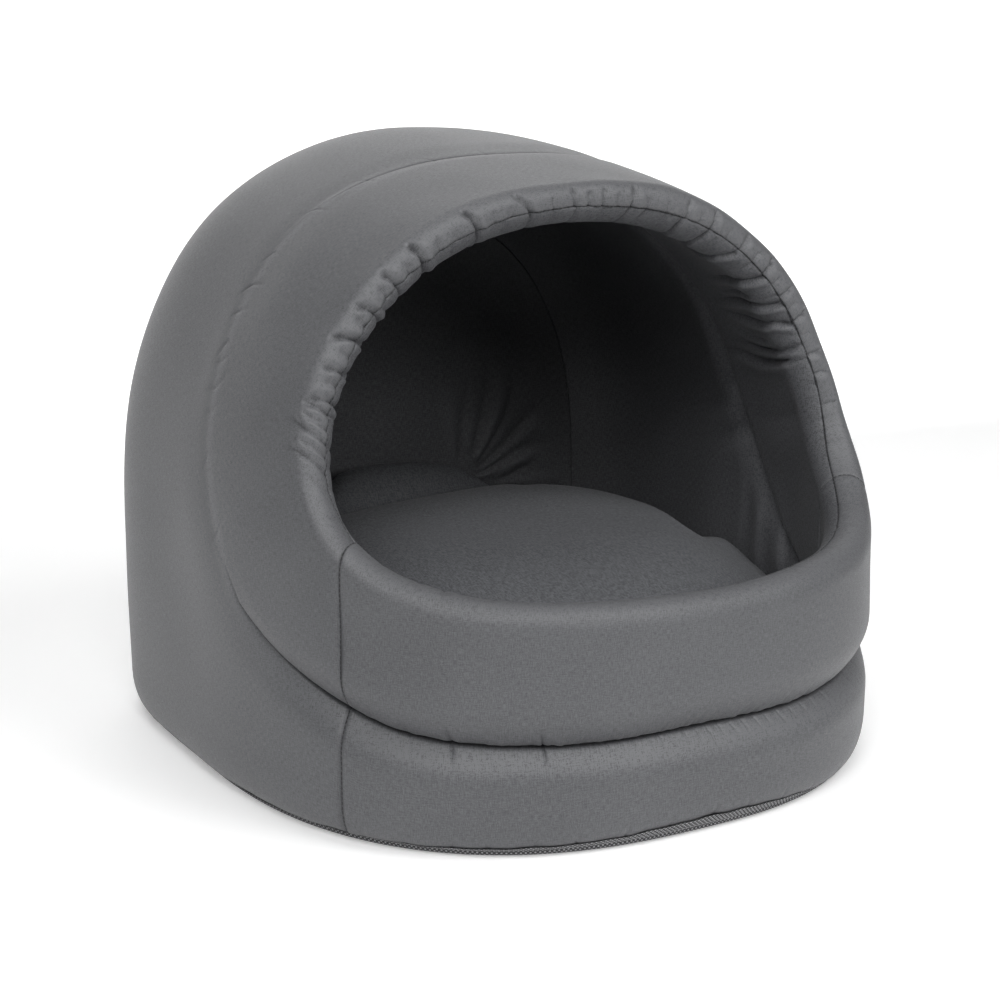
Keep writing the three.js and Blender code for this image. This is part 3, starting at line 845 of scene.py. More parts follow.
def outerTucks(skin):
    turn = skin.place[..., 0]
    baseSeam = baseSeamHeight(turn * skin.side)
    notch = seamNotch * (1 - smooth(baseSeam - 0.8 * mm, baseSeam + 0.3 * mm, skin.floorHeight))
    planWay = np.interp(turn, planTurns, planWays) * skin.side
    puckers = pinches(planWay, np.maximum(skin.floorHeight - baseSeam, 0), footPuckers)
    return notch + puckers + np.maximum.reduce([
        channelTuck(skin),
        tuck(skin.floorHeight - shell["foot"], seams["baseTuck"], seams["baseTuckReach"]),
        tuck((shell["rearSeam"] - turn) * shell["rearReach"], seams["rearTuck"], seams["rearTuckReach"]),
        tuck(skin.distance, seams["rimTuck"], seams["rimTuckReach"]),
        tuck(skin.fromSides, seams["sideTuck"], seams["sideTuckReach"]),
    ])


def hoodShape(skin):
    folds = pinches(skin.along, skin.distance, outerGathers)
    folds = folds + pinches(skin.along, skin.fromChannel, channelPuckers)
    calm = smooth(0, 40 * mm, skin.fromChannel)
    nearRim = np.exp(-skin.distance / (30 * mm))
    puff = hood["puff"] * waves(skin.along, 0.5 * skin.distance, 34 * mm, 3) * nearRim
    sway = hood["sway"] * waves(skin.cloth[..., 0], skin.cloth[..., 1], 130 * mm, 5) * calm
    return outerTucks(skin) + folds + puff + sway, folds


def plainShape(skin):
    # The hidden skin follows the groove less deeply
    depth = -0.4 * channelTuck(skin) * smooth(0, 0.2, skin.way)
    return depth, 0 * depth


def addPanel(name, node, columns, look, shape):
    # A padded panel: the skin that shows, and a plain one inside the wall
    skin = Skin(columns, look["rows"], True, 0, shape)
    sagOverGroove(skin)
    hidden = Skin(columns, look["hiddenRows"], False, hood["hiddenLift"], plainShape)
    piece = addPiece(name, **joinSkins(skin, hidden))
    settle(piece, "outer_cloth", node)
    print(name + ":", len(piece.data.vertices), "points")
    return skin


hoodColumns = Columns(True, hood["columns"], [row[0] for row in outerGathers["rows"]])
hoodSkin = addPanel("hood", "hood_panel", hoodColumns, hood, hoodShape)

# Gathers of the hood's lining, inside the rim seam, in the same columns
liningGathers = {
    "width": 4.6 * mm,
    "skew": 0.2,
    "fading": 0.8,
    "ridge": 0.2,
    "rows": [
        (-270, 14, 0.7, 0.2), (-252, 22, 0.9, 0.2), (-240, 26, 1.2, 0.2), (-229, 30, 1.8, 0.1),
        (-212, 28, 2.0, 0.1), (-205, 28, 3.2, 0.0), (-188, 26, 2.6, 0.1), (-168, 30, 3.7, 0.1),
        (-150, 26, 3.2, 0.0), (-130, 24, 3.2, 0.0), (-110, 26, 3.9, 0.0), (-90, 14, 1.3, 0.0),
        (-72, 26, 3.7, 0.1), (-54, 16, 1.6, 0.1), (-36, 26, 3.2, 0.1), (-20, 14, 1.2, 0.0),
        (-4, 24, 2.5, -0.1), (14, 14, 1.4, 0.0), (32, 24, 3.0, -0.1), (44, 22, 2.4, -0.2),
        (58, 14, 1.3, 0.0), (71, 26, 2.8, 0.0), (92, 26, 2.7, -0.1), (118, 14, 2.0, -0.3),
        (131, 16, 1.4, -0.1), (144, 14, 2.2, -0.2), (160, 13, 1.4, -0.2), (167, 14, 2.0, -0.3),
        (182, 14, 2.0, -0.4), (197, 13, 1.8, -0.1), (207, 14, 1.6, -0.1), (224, 20, 1.3, -0.1),
        (246, 16, 1.0, -0.1),
    ],
}
liningWrinkles = [
    (1.6, 1.6, 1, [(70, 4), (73, 14), (75, 34)]),
    (1.7, 1.6, 1, [(92, 4), (90, 14), (94, 40)]),
    (2.8, 1.8, 1, [(118, 4), (112, 14), (110, 26), (116, 60)]),
    (3.4, 2.0, 1, [(144, 2), (139, 16), (140, 34), (150, 76)]),
    (1.8, 1.6, 1, [(153, 20), (152, 36), (158, 64)]),
    (3.6, 2.0, 1, [(166, 2), (160, 22), (161, 44), (168, 92)]),
    (3.4, 1.9, 1, [(182, 2), (176, 12), (175, 40), (172, 88)]),
    (2.0, 1.6, 1, [(189, 30), (187, 50), (181, 74)]),
    (3.0, 1.8, 1, [(198, 6), (196, 20), (194, 46), (186, 100)]),
    (3.4, 2.0, 1, [(203, 14), (201, 54), (194, 84), (192, 122)]),
    (0.9, 6.0, 1, [(235, 23), (225, 70), (218, 105)]),
    (2.0, 2.2, 1, [(206, 108), (203, 121), (196, 139)]),
    (1.8, 2.4, 1, [(207, 125), (198, 156), (189, 182)]),
    (2.2, 2.6, 1, [(221, 108), (215, 133), (205, 166)]),
    (-1.8, 4.0, 1, [(231, 130), (238, 152), (243, 170)]),
    (-2.2, 3.4, 1, [(243, 118), (250, 137), (256, 160)]),
    (-2.0, 3.4, 1, [(254, 106), (260, 116), (266, 130)]),
    (1.6, 2.0, -1, [(-144, 2), (-140, 16), (-146, 60)]),
    (1.9, 2.2, -1, [(-167, 2), (-161, 20), (-166, 84)]),
    (1.7, 2.0, -1, [(-188, 2), (-181, 16), (-178, 76)]),
    (2.0, 2.2, -1, [(-205, 6), (-200, 40), (-192, 104)]),
    (1.2, 2.4, -1, [(-226, 20), (-220, 60), (-210, 108)]),
    (1.1, 2.0, 1, [(-72, 4), (-75, 14), (-78, 44)]),
    (1.2, 2.0, 1, [(-110, 4), (-106, 16), (-112, 54)]),
]

hoodLining = {
    "rows": (18, 30, 30),
    "hiddenRows": (6, 10, 10),
    "sway": 0.9 * mm,
}


def innerTucks(skin):
    least, most = seams["liningDip"]
    dip = least + (most - least) * grooveFade(skin)
    ahead = 1 - np.clip(skin.fromChannel / seams["dipAbove"], 0, 1)
    behindIt = 1 - np.clip(skin.fromChannel / seams["dipBelow"], 0, 1)
    return np.maximum.reduce([
        dip * np.where(skin.way < 1, 1 - np.sqrt(1 - ahead**2), behindIt**1.5),
        tuck(skin.distance, seams["rimTuck"], seams["rimTuckReach"]),
        tuck(skin.fromSides, seams["sideTuck"], seams["sideTuckReach"]),
    ])


def hoodLiningShape(skin):
    folds = pinches(skin.along, skin.distance, liningGathers)
    folds = folds + wrinkles(skin.along, skin.distance, liningWrinkles)
    calm = smooth(0, 30 * mm, skin.fromChannel) * smooth(0, 30 * mm, skin.distance)
    sway = hoodLining["sway"] * waves(skin.cloth[..., 0], skin.cloth[..., 1], 90 * mm, 8) * calm
    return innerTucks(skin) + folds + sway, folds


def behind(shape):
    # The hidden skin of a lining, which stays behind the creases of the one that shows
    def made(skin):
        depth, folds = shape(skin)
        around = range(-8, 9)
        return depth - folds + np.max([np.roll(folds, k, axis=0) for k in around], axis=0), folds
    return made


def flatSize(skin):
    # The longest way across, and the longest way from the rim seam to the outer edge
    across = np.linalg.norm(np.diff(skin.points, axis=0), axis=2)
    down = np.linalg.norm(np.diff(skin.points, axis=1), axis=2)
    return float(across.sum(axis=0).max()), float(down.sum(axis=1).max())


def meshArea(skin):
    p = skin.points
    crossed = np.cross(p[1:, 1:] - p[:-1, :-1], p[1:, :-1] - p[:-1, 1:])
    return float(np.linalg.norm(crossed, axis=2).sum() / 2)


def addLining(name, node, columns, look, shape):
    skin = Skin(columns, look["rows"], False, 0, shape)
    hidden = Skin(columns, look["hiddenRows"], False, shell["lining"], behind(shape))
    piece = addPiece(name, **joinSkins(skin, hidden))
    settle(piece, "lining_cloth", node)
    flat, area = flatSize(skin), meshArea(skin)
    print(name + ":", [round(side, 3) for side in flat], round(area, 4))


addLining("hoodLining", "hood_lining", hoodColumns, hoodLining, hoodLiningShape)

# Lip: two bolsters with the channel seam between them
lip = {
    "columns": 440,
    "rows": (20, 34, 34),
    "hiddenRows": (3, 3, 4),
    "sway": 0.6 * mm,
}

# Puckers along the lip's groove: place along the lip's rim from the middle, then as above
lipPuckers = {
    "width": 2.6 * mm,
    "skew": 0.2,
    "fading": 0.8,
    "ridge": 0.2,
    "rows": [
        (-196, 10, 0.6, 0.2), (-180, 12, 0.7, 0.2), (-161, 12, 3.6, 0.0), (-146, 9, 0.6, 0.3),
        (-131, 10, 0.8, 0.2), (-114, 12, 3.8, 0.1), (-101, 9, 0.7, 0.4), (-90, 12, 1.0, 0.4),
        (-81, 9, 0.8, 0.5), (-72, 12, 1.1, 0.5), (-62, 9, 0.8, 0.4), (-54, 11, 1.0, 0.5),
        (-43, 9, 0.8, 0.5), (-34, 13, 1.2, 0.6), (-25, 9, 0.8, 0.5), (-15, 12, 1.0, 0.5),
        (-5, 10, 0.9, 0.5), (4, 12, 1.1, 0.6), (14, 9, 0.8, 0.5), (24, 12, 1.1, 0.6),
        (35, 10, 0.9, 0.5), (46, 12, 1.0, 0.6), (56, 10, 0.8, 0.5), (68, 12, 1.0, 0.6),
        (80, 10, 0.9, 0.5), (92, 12, 0.9, 0.5), (104, 10, 0.8, 0.4), (118, 12, 0.8, 0.4),
        (134, 10, 0.7, 0.3), (152, 12, 0.7, 0.3), (171, 10, 0.6, 0.2), (190, 10, 0.6, 0.2),
    ],
}

# A few soft dents along the top of the lip
lipDents = {
    "width": 4.5 * mm,
    "skew": 0.2,
    "ridge": 0.2,
    "rows": [
        (-186, 12, 0.7, 0.2), (-163, 14, 1.0, 0.2), (-148, 18, 1.9, 0.1), (-120, 12, 0.9, -0.1),
        (-88, 14, 0.9, 0.1), (-52, 12, 0.7, 0.0), (-14, 14, 0.8, 0.1), (30, 12, 0.7, 0.0),
        (74, 14, 0.8, 0.1), (112, 12, 0.8, 0.0), (150, 14, 1.0, 0.1), (178, 14, 0.8, 0.1),
    ],
}


def lipShape(skin):
    puckers = pinches(skin.along, skin.fromChannel, lipPuckers) * np.where(skin.way > 1, 1, 0.8)
    folds = puckers + pinches(skin.along, skin.distance, lipDents)
    calm = smooth(0, 30 * mm, skin.fromChannel)
    sway = lip["sway"] * waves(skin.cloth[..., 0], skin.cloth[..., 1], 110 * mm, 12) * calm
    return outerTucks(skin) + folds + sway, folds


lipColumns = Columns(False, lip["columns"], [row[0] for row in lipPuckers["rows"]])
lipSkin = addPanel("lip", "front_panel", lipColumns, lip, lipShape)

lipLining = {
    "rows": (12, 16, 14),
    "hiddenRows": (4, 6, 5),
    "sway": 0.8 * mm,
}


def lipLiningShape(skin):
    calm = smooth(0, 25 * mm, skin.fromChannel) * smooth(0, 20 * mm, skin.distance)
    sway = lipLining["sway"] * waves(skin.cloth[..., 0], skin.cloth[..., 1], 80 * mm, 17) * calm
    return innerTucks(skin) + sway, 0 * sway


addLining("lipLining", "front_lining", lipColumns, lipLining, lipLiningShape)

# Back: its outline is the hood's rear seam, and its face swells towards the middle
back = {
    "climbSteps": 320,
    "footSteps": 90,
    "rings": 30,
    "liningRings": 90,
    "hiddenRings": 5,
    "lastScale": 0.03,  # of the innermost ring
    "ringPower": 1.6,
    "middle": 150 * mm,
    "core": 22.5 * mm,
    "sway": 0.8 * mm,
    "cushionLine": [  # height that the cushion hides, across the lining
        (-110, 92), (-80, 118), (-38, 132), (8, 134), (34, 128), (55, 117), (68, 110), (85, 100), (110, 90),
    ],
    # Painted shadow where the cushion's margin meets the lining, and painted shade under the ridge
    "gapShade": 0.8,
    "gapReach": 6 * mm,
    "unlit": (190 * mm, 290 * mm, 0.6),  # heights between which it gets dark, and their slope
    "unlitShade": 0.5,
    "fan": (62 * mm, 118 * mm),
    "fanScale": 40 * mm,
    "creases": [  # depth, width, side of the ridge, and points: place round the fan and distance
        (3.0, 3.0, 1, [(29, 20), (35, 57), (44, 92)]),
        (2.6, 2.8, -1, [(19, 18), (26, 64), (27, 90)]),
        (2.8, 2.8, -1, [(9, 16), (15, 45), (12, 76)]),
        (2.0, 2.4, 1, [(-4, 30), (3, 48), (8, 66)]),
        (2.4, 2.8, 1, [(-12, 30), (-8, 74), (-4, 90)]),
        (1.8, 4.0, 1, [(66, 16), (62, 42), (58, 84)]),
        (1.6, 3.6, 1, [(46, 24), (50, 60), (54, 100)]),
    ],
}
rearShare = abs(math.sin(shell["rearSeam"])) * float(planStretch(np.array(shell["rearSeam"])))


def rearFace(x, z, inset):
    halfWidth = (shell["halfWidth"] - inset) * rearShare
    corner = (shell["halfWidth"] - inset) * (1 - rearShare)
    archHeight = shell["height"] - inset - corner - shell["upright"]
    side = np.abs(x) / halfWidth
    up = np.maximum(0, z - shell["upright"]) / archHeight
    power = shell["archRound"]
    fullness = np.minimum(1, (side ** power + up ** power) ** (1 / power))
    face = 1 - (fullness * rearShare) ** shell["rearRound"]
    return (shell["rearReach"] - inset) * face ** (1 / shell["rearRound"]) + waist + shell["rearGap"]


def rearOutline(edge, onFoot):
    # The rear seam from the left foot over the ridge to the right foot, then back along the foot
    way = np.linspace(-1, 1, back["climbSteps"] + 1)
    rise = footRise + (1 - footRise) * (1 - np.abs(way)) ** shell["climbPower"]
    turn = np.full_like(rise, shell["rearSeam"])
    height = wallPoint(turn, rise, 0)[:, 2] - shell["foot"]
    tucked = tuck(height, seams["baseTuck"], seams["baseTuckReach"]) if onFoot else 0 * height
    climb = wallPoint(turn, rise, np.maximum(edge, tucked))
    climb[:, 0] *= np.where(way < 0, -1, 1)
    climb[:, 1] += shell["rearGap"]
    x = climb[-1, 0] * (1 - 2 * np.arange(1, back["footSteps"]) / back["footSteps"])
    foot = np.stack([x, 0 * x + climb[-1, 1], 0 * x + shell["foot"]], axis=1)
    return np.concatenate([climb, foot])


def rearSkin(edge, face, onFoot, shape, scales):
    # Rings from the seam to the middle: the face's own place less what the seam and the foot draw in
    outline = rearOutline(edge, onFoot)
    x = outline[:, 0] * scales[:, None]
    z = back["middle"] + (outline[:, 2] - back["middle"]) * scales[:, None]
    reach = np.hypot(outline[:, 0], outline[:, 2] - back["middle"])
    fromSeam = (1 - scales[:, None]) * reach
    plain = rearFace(x, z, face)
    onSeam = np.abs(outline[:, 2] - shell["foot"]) > 0.5 * mm
    drop = np.where(onSeam, rearFace(outline[:, 0], outline[:, 2], face) - outline[:, 1], 0)
    pull = 1 - np.sqrt(1 - (1 - np.clip(fromSeam / seams["rearTuckReach"], 0, 1)) ** 2)
    foot = tuck(z - shell["foot"], seams["baseTuck"], seams["baseTuckReach"]) if onFoot else 0
    depth, folds = shape(x, z, fromSeam)
    y = plain - np.maximum(pull * drop, foot) + depth * (-1 if onFoot else 1)
    return np.stack([x, y, z], axis=-1), folds, fromSeam


def rearPiece(name, outside, inside, shade=lambda x, z: 0 * x):
    rings, folds, seamed = [], [], []
    for (points, fold, fromSeam), order in ((outside, -1), (inside, 1)):
        rings.append(points[::order])
        folds.append(fold[::order] + 0 * fromSeam)
        # The dark seam line, partly painted shade in the crease, joined with the painted shade passed in
        shaded = shade(points[::order, :, 0], points[::order, :, 2])
        seamed.append(1 - (1 - tone("darkRear", fromSeam[::order])) * (1 - shaded))
    points = np.concatenate(rings)
    flat = points.reshape(-1, 3)
    return addPiece(
        name, flat, tubeFaces(*points.shape[:2], -1), cloth=flat[:, (0, 2)],
        folds=np.concatenate(folds).ravel() / mm, seamed=np.concatenate(seamed).ravel(),
    )


def backShape(x, z, fromSeam):
    sway = back["sway"] * waves(x, z, 130 * mm, 21) * smooth(0, 40 * mm, fromSeam)
    return sway, 0 * sway


def backLiningShape(x, z, fromSeam):
    # Creases spread like a fan from a place near the cushion, towards the right-hand seam
    sway = back["sway"] * waves(x, z, 70 * mm, 23) * smooth(0, 30 * mm, fromSeam)
    fanX, fanZ = back["fan"]
    angle = np.arctan2(z - fanZ, x - fanX)
    folds = wrinkles(angle * back["fanScale"], np.hypot(x - fanX, z - fanZ), back["creases"])
    folds = folds * smooth(0, 12 * mm, fromSeam)
    return sway + folds, folds


def backLiningShade(x, z):
    # Painted shadow on the lining along the cushion's rear margin, and painted shade up under the ridge
    # where little light gets in
    places, heights = np.array(back["cushionLine"]).T * mm
    low, high, slope = back["unlit"]
    gap = back["gapShade"] * (1 - smooth(0, back["gapReach"], z - np.interp(x, places, heights)))
    return 1 - (1 - gap) * (1 - back["unlitShade"] * smooth(low, high, z + slope * x))


def ringScales(count):
    return 1 - (1 - back["lastScale"]) * np.linspace(0, 1, count + 1) ** back["ringPower"]


def unshaped(x, z, fromSeam):
    return 0 * x, 0 * x


liningScales = ringScales(back["liningRings"])
backPiece = rearPiece(
    "back",
    rearSkin(seams["rearTuck"], 0, True, backShape, ringScales(back["rings"])),
    rearSkin(back["core"], back["core"], False, unshaped, ringScales(back["hiddenRings"])),
)
settle(backPiece, "outer_cloth", "back_panel")
backLiningPiece = rearPiece(
    "backLining",
    rearSkin(wall - shell["lining"], wall - shell["lining"], False, backLiningShape, liningScales),
    rearSkin(wall, wall, False, backLiningShape, liningScales),
    backLiningShade,
)
settle(backLiningPiece, "lining_cloth", "back_lining")
print("back made")

# Base sheet: a shallow tray whose edge turns up along the foot to its seam
tray = {
    "columns": 480,
    "thickness": 3 * mm,
    "edge": 0.9 * mm,
    "inset": 9.6 * mm,
    "flatInset": 13 * mm,
    "corner": ((13, 0), (11.3, 0), (10.4, 0.25), (9.8, 0.9), (9.6, 1.9)),  # inset and height in mm
    "scales": (0.04, 0.3, 0.6, 0.8, 0.93),
    "topScales": (0.93, 0.6, 0.3, 0.04),
    "topInset": 11.2 * mm,
    "climbRows": 9,
    "clearance": 0.4 * mm,
    "edgeDrop": 0.2 * mm,
}


def trayPiece():
    turns = np.linspace(-math.pi, math.pi, tray["columns"], endpoint=False)
    side = np.where(turns < 0, -1, 1)
    top = np.maximum(baseSeamHeight(turns), shell["foot"])
    low = tray["thickness"]
    flatInset = tray["flatInset"]

    def at(inset, z, scale=1.0):
        made = wallPoint(np.abs(turns), 0 * turns + 0.1, inset)
        made[:, 0] *= side * scale
        made[:, 1] = waist + (made[:, 1] - waist) * scale
        made[:, 2] = z
        return made

    def hug(z):
        drawn = tuck(z - shell["foot"], seams["baseTuck"], seams["baseTuckReach"]) - tray["clearance"]
        return np.minimum(tray["inset"], drawn + 0 * z)

    rows = [at(flatInset, 0.0, scale) for scale in tray["scales"]]
    rows += [at(inset * mm, z * mm) for inset, z in tray["corner"]]
    climb = [low + (top - low) * share for share in np.linspace(0, 1, tray["climbRows"])]
    rows += [at(hug(z), z) for z in climb]
    rows += [at(hug(z) + tray["edge"], z - tray["edgeDrop"]) for z in climb[::-2]]
    rows += [at(tray["topInset"], low), at(flatInset, low)]
    rows += [at(flatInset, low, scale) for scale in tray["topScales"]]
    points = np.array(rows)
    count, size = points.shape[:2]
    outline = points[len(tray["scales"])]
    steps = np.linalg.norm(outline - np.roll(outline, 1, axis=0), axis=1)
    u = np.broadcast_to(np.cumsum(steps), (count, size))
    climbed = np.cumsum(np.linalg.norm(np.diff(points, axis=0), axis=2), axis=0)
    v = np.concatenate([np.zeros((1, size)), climbed])
    cloth = np.stack([u, v], axis=-1).reshape(-1, 2)
    return addPiece("baseSheet", points.reshape(-1, 3), tubeFaces(count, size, -1), cloth=cloth)


trayMade = trayPiece()
settle(trayMade, "grip_cloth", "base_sheet")
print("base sheet made")

# Cushion: a filled pad with a crown, its rear margin pushed up against the back
cushion = {
    "clearance": 4 * mm,
    "frontRound": 2.4,
    "rearRound": 3,
    "seamHeight": 44 * mm,
    "crown": 88 * mm,
    "crownPower": 3.8,
    "underPower": 9,
    "underFullness": 1.25,
    "edgeFade": 12,
    "columns": 120,
    "underShares": (0.05, 0.3, 0.6, 0.8, 0.88, 0.93, 0.96, 0.98, 0.992, 0.998),
    "rings": 36,
    "ringPower": 0.75,
    "lastRing": 0.02,
    "startShrink": 2.5 * mm,  # it swells again in the simulation
    "voxel": 5 * mm,
    "pressure": 4.0,
    "frames": 20,
    "cap": 5 * mm,
    "margin": {
        "x": 0 * mm, "y": 133 * mm, "halfLength": 98 * mm, "halfDepth": 25 * mm, "lift": 48 * mm,
    },
    "crease": {
        "x": 15 * mm, "y": 104 * mm, "slope": 0.25,
        "halfLength": 95 * mm, "halfDepth": 17 * mm, "depth": 17 * mm,
    },
    "notch": {
        "x": 140 * mm, "y": -18 * mm, "slope": 1.7,
        "halfLength": 32 * mm, "halfDepth": 22 * mm, "depth": 12 * mm,
    },
}


def cushionOutline(turn):
    inset = wall + cushion["clearance"] + cushion["startShrink"]
    power = np.where(np.cos(turn) > 0, cushion["frontRound"], cushion["rearRound"])
    stretch = (np.abs(np.sin(turn)) ** power + np.abs(np.cos(turn)) ** power) ** (-1 / power)
    reach = np.where(np.cos(turn) > 0, shell["frontReach"], shell["rearReach"]) - inset
    return np.sin(turn) * stretch * (shell["halfWidth"] - inset), -np.cos(turn) * stretch * reach


def mound(x, y, shape):
    return np.exp(-((x / shape["halfLength"]) ** 4) - (y / shape["halfDepth"]) ** 2)


def cushionTop(x, y, share):
    dome = cushion["crown"] * np.sqrt(np.maximum(0, 1 - share ** cushion["crownPower"]))
    fade = 1 - share ** cushion["edgeFade"]
    margin = cushion["margin"]
    lift = margin["lift"] * mound(x - margin["x"], y - margin["y"], margin)
    drop = 0
    for fold in (cushion["crease"], cushion["notch"]):
        foldY = fold["y"] + fold["slope"] * (x - fold["x"])
        drop = drop + fold["depth"] * mound(x - fold["x"], y - foldY, fold)
    return cushion["seamHeight"] + dome + fade * (lift - drop)


def cushionStart():
    turns = np.linspace(0, 2 * math.pi, cushion["columns"], endpoint=False)
    edgeX, edgeY = cushionOutline(turns)
    drop = cushion["seamHeight"] - shell["foot"]
    rows = []
    for share in cushion["underShares"]:
        swell = min(1, cushion["underFullness"] * math.sqrt(1 - share ** cushion["underPower"]))
        z = np.full_like(edgeX, cushion["seamHeight"] - drop * swell)
        rows.append(np.stack([edgeX * share, edgeY * share + waist, z], axis=1))
    rows.append(np.stack([edgeX, edgeY + waist, np.full_like(edgeX, cushion["seamHeight"])], axis=1))
    for bend in np.linspace(0, math.pi / 2, cushion["rings"] + 1)[1:]:
        share = max(math.cos(bend), 0.0) ** cushion["ringPower"]
        share = share * (1 - cushion["lastRing"]) + cushion["lastRing"]
        x, y = edgeX * share, edgeY * share
        rows.append(np.stack([x, y + waist, cushionTop(x, y, np.full_like(x, share))], axis=1))
    points = np.array(rows)
    return addPiece("cushionPad", points.reshape(-1, 3), tubeFaces(*points.shape[:2], -1))


def applyModifiers(piece):
    shaped = piece.evaluated_get(bpy.context.evaluated_depsgraph_get())
    mesh = bpy.data.meshes.new_from_object(shaped)
    piece.modifiers.clear()
    piece.data = mesh


def coordinates(mesh):
    made = np.zeros(len(mesh.vertices) * 3)
    mesh.vertices.foreach_get("co", made)
    return made.reshape(-1, 3)


def swell(piece, pressure, frames, cap):
    # Blows the pad up a little, with each point held to within cap of where it began
    start = coordinates(piece.data)
    blow = piece.modifiers.new("swell", "CLOTH")
    blow.settings.use_pressure = True
    blow.settings.uniform_pressure_force = pressure
    blow.settings.effector_weights.gravity = 0
    blow.settings.quality = 5
    blow.point_cache.frame_start = 1
    blow.point_cache.frame_end = frames
    for number in range(1, frames + 1):
        scene.frame_set(number)
    applyModifiers(piece)
    moved = coordinates(piece.data) - start
    length = np.linalg.norm(moved, axis=1)[:, None]
    kept = start + moved * np.minimum(1, cap / np.maximum(length, 1e-9))
    piece.data.vertices.foreach_set("co", kept.ravel())
    scene.frame_set(1)


cushionPiece = cushionStart()
remesh = cushionPiece.modifiers.new("remesh", "REMESH")
remesh.mode = "VOXEL"
remesh.voxel_size = cushion["voxel"]
applyModifiers(cushionPiece)
swell(cushionPiece, cushion["pressure"], cushion["frames"], cushion["cap"])
soften = cushionPiece.modifiers.new("soften", "SUBSURF")
soften.levels = 1
applyModifiers(cushionPiece)


def shapeCushion():
    # Flat where it lies on the base sheet
    points = coordinates(cushionPiece.data)
    points[:, 2] = np.maximum(points[:, 2], shell["foot"])
    cushionPiece.data.vertices.foreach_set("co", points.ravel())
    cushionPiece.data.polygons.foreach_set("use_smooth", [True] * len(cushionPiece.data.polygons))


shapeCushion()
settle(cushionPiece, "cushion_cloth", "cushion")
print("cushion:", len(cushionPiece.data.vertices), "points")

stitchLook = {
    "pitch": 2.9 * mm,
    "length": 2.1 * mm,
    "radius": 0.19 * mm,
    "taper": ((-1, 0.35), (-0.6, 1), (0.6, 1), (1, 0.35)),  # place along it, and thickness
    "lift": 0.6,
    "deepTurn": 1.3,  # the channel's stitches show on the hood up to this turn
}


def stitchRow(path, outward):
    # Dashes along a seam, each a small tapered prism that sits in the cloth
    steps = np.concatenate([[0], np.cumsum(np.linalg.norm(np.diff(path, axis=0), axis=1))])
    count = int(steps[-1] / stitchLook["pitch"])
    middles = (np.arange(count) + 0.5) * steps[-1] / count
    half = stitchLook["length"] / 2
    across = np.array([[1, 0], [0, 1], [-1, 0], [0, -1]])
    points = []
    for way in middles:
        for end, width in stitchLook["taper"]:
            here = way + end * half
            at, normal, ahead = (
                np.array([np.interp(spot, steps, source[:, k]) for k in range(3)])
                for spot, source in ((here, path), (here, outward), (here + 0.2 * mm, path))
            )
            ahead -= at
            sideways = np.cross(ahead, normal)
            sideways /= max(np.linalg.norm(sideways), 1e-9)
            for a, b in across:
                aside = a * sideways + (stitchLook["lift"] + b) * normal
                points.append(at + stitchLook["radius"] * width * aside)
    faces = []
    for start in range(0, len(points), 16):
        for ring in range(3):
            for k in range(4):
                low = start + 4 * ring
                faces.append([low + k, low + (k + 1) % 4, low + 4 + (k + 1) % 4, low + 4 + k])
        faces.append([start + 3, start + 2, start + 1, start])
        faces.append([start + 12, start + 13, start + 14, start + 15])
    return points, faces


def addStitches(name, paths):
    points, faces = [], []
    for skin, place in paths:
        morePoints, moreFaces = stitchRow(skin.points[place], skin.outward[place])
        faces += [[k + len(points) for k in face] for face in moreFaces]
        points += morePoints
    piece = addPiece(name, points, faces)
    settle(piece, "outer_cloth", material=seamThread)


deepEnd = int(np.argmax(hoodColumns.channel[:, 0] > stitchLook["deepTurn"]))
addStitches("channelStitches", [
    (lipSkin, np.s_[:, lipSkin.channelRow]),
    (hoodSkin, np.s_[:deepEnd, hoodSkin.channelRow]),
    (hoodSkin, np.s_[-deepEnd:, hoodSkin.channelRow]),
])
addStitches("rimStitches", [(skin, np.s_[:, 0]) for skin in (hoodSkin, lipSkin)])
addStitches("sideStitches", [(lipSkin, np.s_[0]), (lipSkin, np.s_[-1])])
print("stitches made")

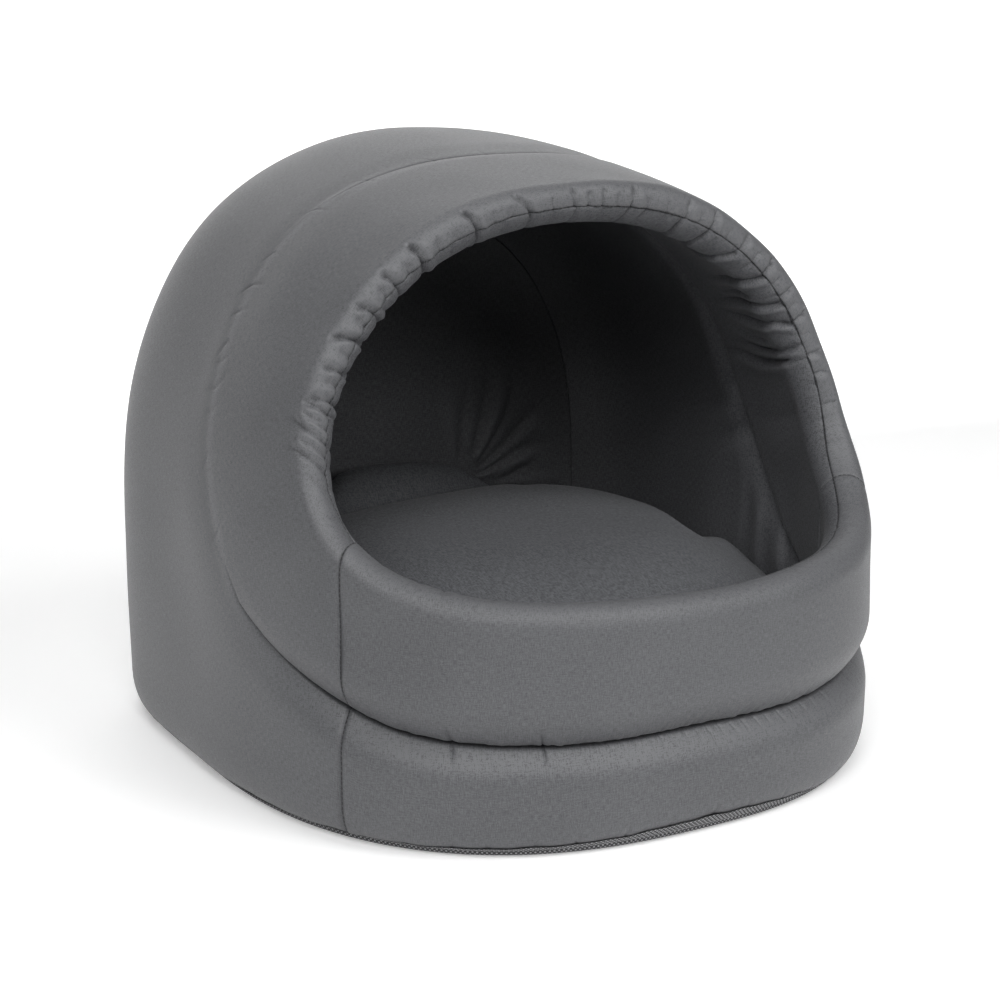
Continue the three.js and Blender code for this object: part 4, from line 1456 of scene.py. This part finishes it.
# Pale floor that turns up into a backdrop behind the house, and soft lights round it
studio = {
    "floorSide": 5.0,
    "floorFront": -0.85,
    "bendStart": 1.6,
    "bendRadius": 0.8,
    "backdropTop": 3.0,
    "floorDrop": 0.0002,
    "floorColour": (0.96, 0.96, 0.96),
    "floorGlow": 0.22,
    "world": 0.02,
    "lights": [  # name, place, what it points at, size, watts
        ("top", (0, 0.4, 2.1), (0, 0, 0.2), 1.5, 7.5),
        ("highLeft", (-1.08, -0.76, 2.03), (0, 0, 0.15), 0.8, 4),
        ("left", (-1.6, -1.12, 1.37), (0, 0, 0.15), 0.8, 6.5),
        ("lowLeft", (-1.37, -1.63, 1.01), (0, 0, 0.15), 0.8, 5.5),
        ("frontLeft", (-0.77, -1.33, 1.86), (0, 0, 0.15), 0.8, 16),
        ("frontRight", (0.77, -1.33, 1.86), (0, 0, 0.15), 0.8, 17),
        ("lowFront", (0.54, -2.03, 1.09), (0, 0, 0.15), 0.8, 8),
        ("lowRight", (1.3, -1.7, 0.98), (0, 0, 0.15), 0.8, 5),
        ("backdrop", (1.4, 0.9, 1.7), (1.7, 2.6, 1.3), 2.8, 48),
    ],
}


def addStudio():
    side = studio["floorSide"]
    start, radius = studio["bendStart"], studio["bendRadius"]
    profile = [(studio["floorFront"], 0.0), (start, 0.0)]
    for turned in np.linspace(0.1, math.pi / 2, 12):
        profile.append((start + radius * math.sin(turned), radius - radius * math.cos(turned)))
    profile.append((start + radius, studio["backdropTop"]))
    points = [(x, y, z - studio["floorDrop"]) for x in (-side, side) for y, z in profile]
    count = len(profile)
    faces = [[k, k + 1, k + count + 1, k + count] for k in range(count - 1)]
    mesh = bpy.data.meshes.new("floor")
    mesh.from_pydata(points, [], faces)
    mesh.polygons.foreach_set("use_smooth", [True] * len(mesh.polygons))
    floor = bpy.data.objects.new("floor", mesh)
    scene.collection.objects.link(floor)
    paint = Finish("floorPaint")
    place = paint.node("ShaderNodeTexCoord", {}, out=3)
    speckle = paint.node("ShaderNodeTexNoise", {}, Vector=place, Scale=3.0, Detail=2.0)
    low, high = ([c * share for c in studio["floorColour"]] for share in (0.99, 1.01))
    mesh.materials.append(paint.done(**{
        "Base Color": paint.tint(low, high, speckle),
        "Roughness": 0.7,
        "Emission Color": (1, 1, 1, 1),
        "Emission Strength": studio["floorGlow"],
    }))
    for name, place, target, size, power in studio["lights"]:
        data = bpy.data.lights.new(name, "AREA")
        data.size = size
        data.energy = power
        light = bpy.data.objects.new(name, data)
        light.location = place
        light.rotation_mode = "QUATERNION"
        light.rotation_quaternion = (Vector(target) - Vector(place)).to_track_quat("-Z", "Y")
        scene.collection.objects.link(light)
    world = bpy.data.worlds.new("studio")
    world.use_nodes = True
    world.node_tree.nodes["Background"].inputs["Color"].default_value = (1, 1, 1, 1)
    world.node_tree.nodes["Background"].inputs["Strength"].default_value = studio["world"]
    scene.world = world


addStudio()
print("studio made")
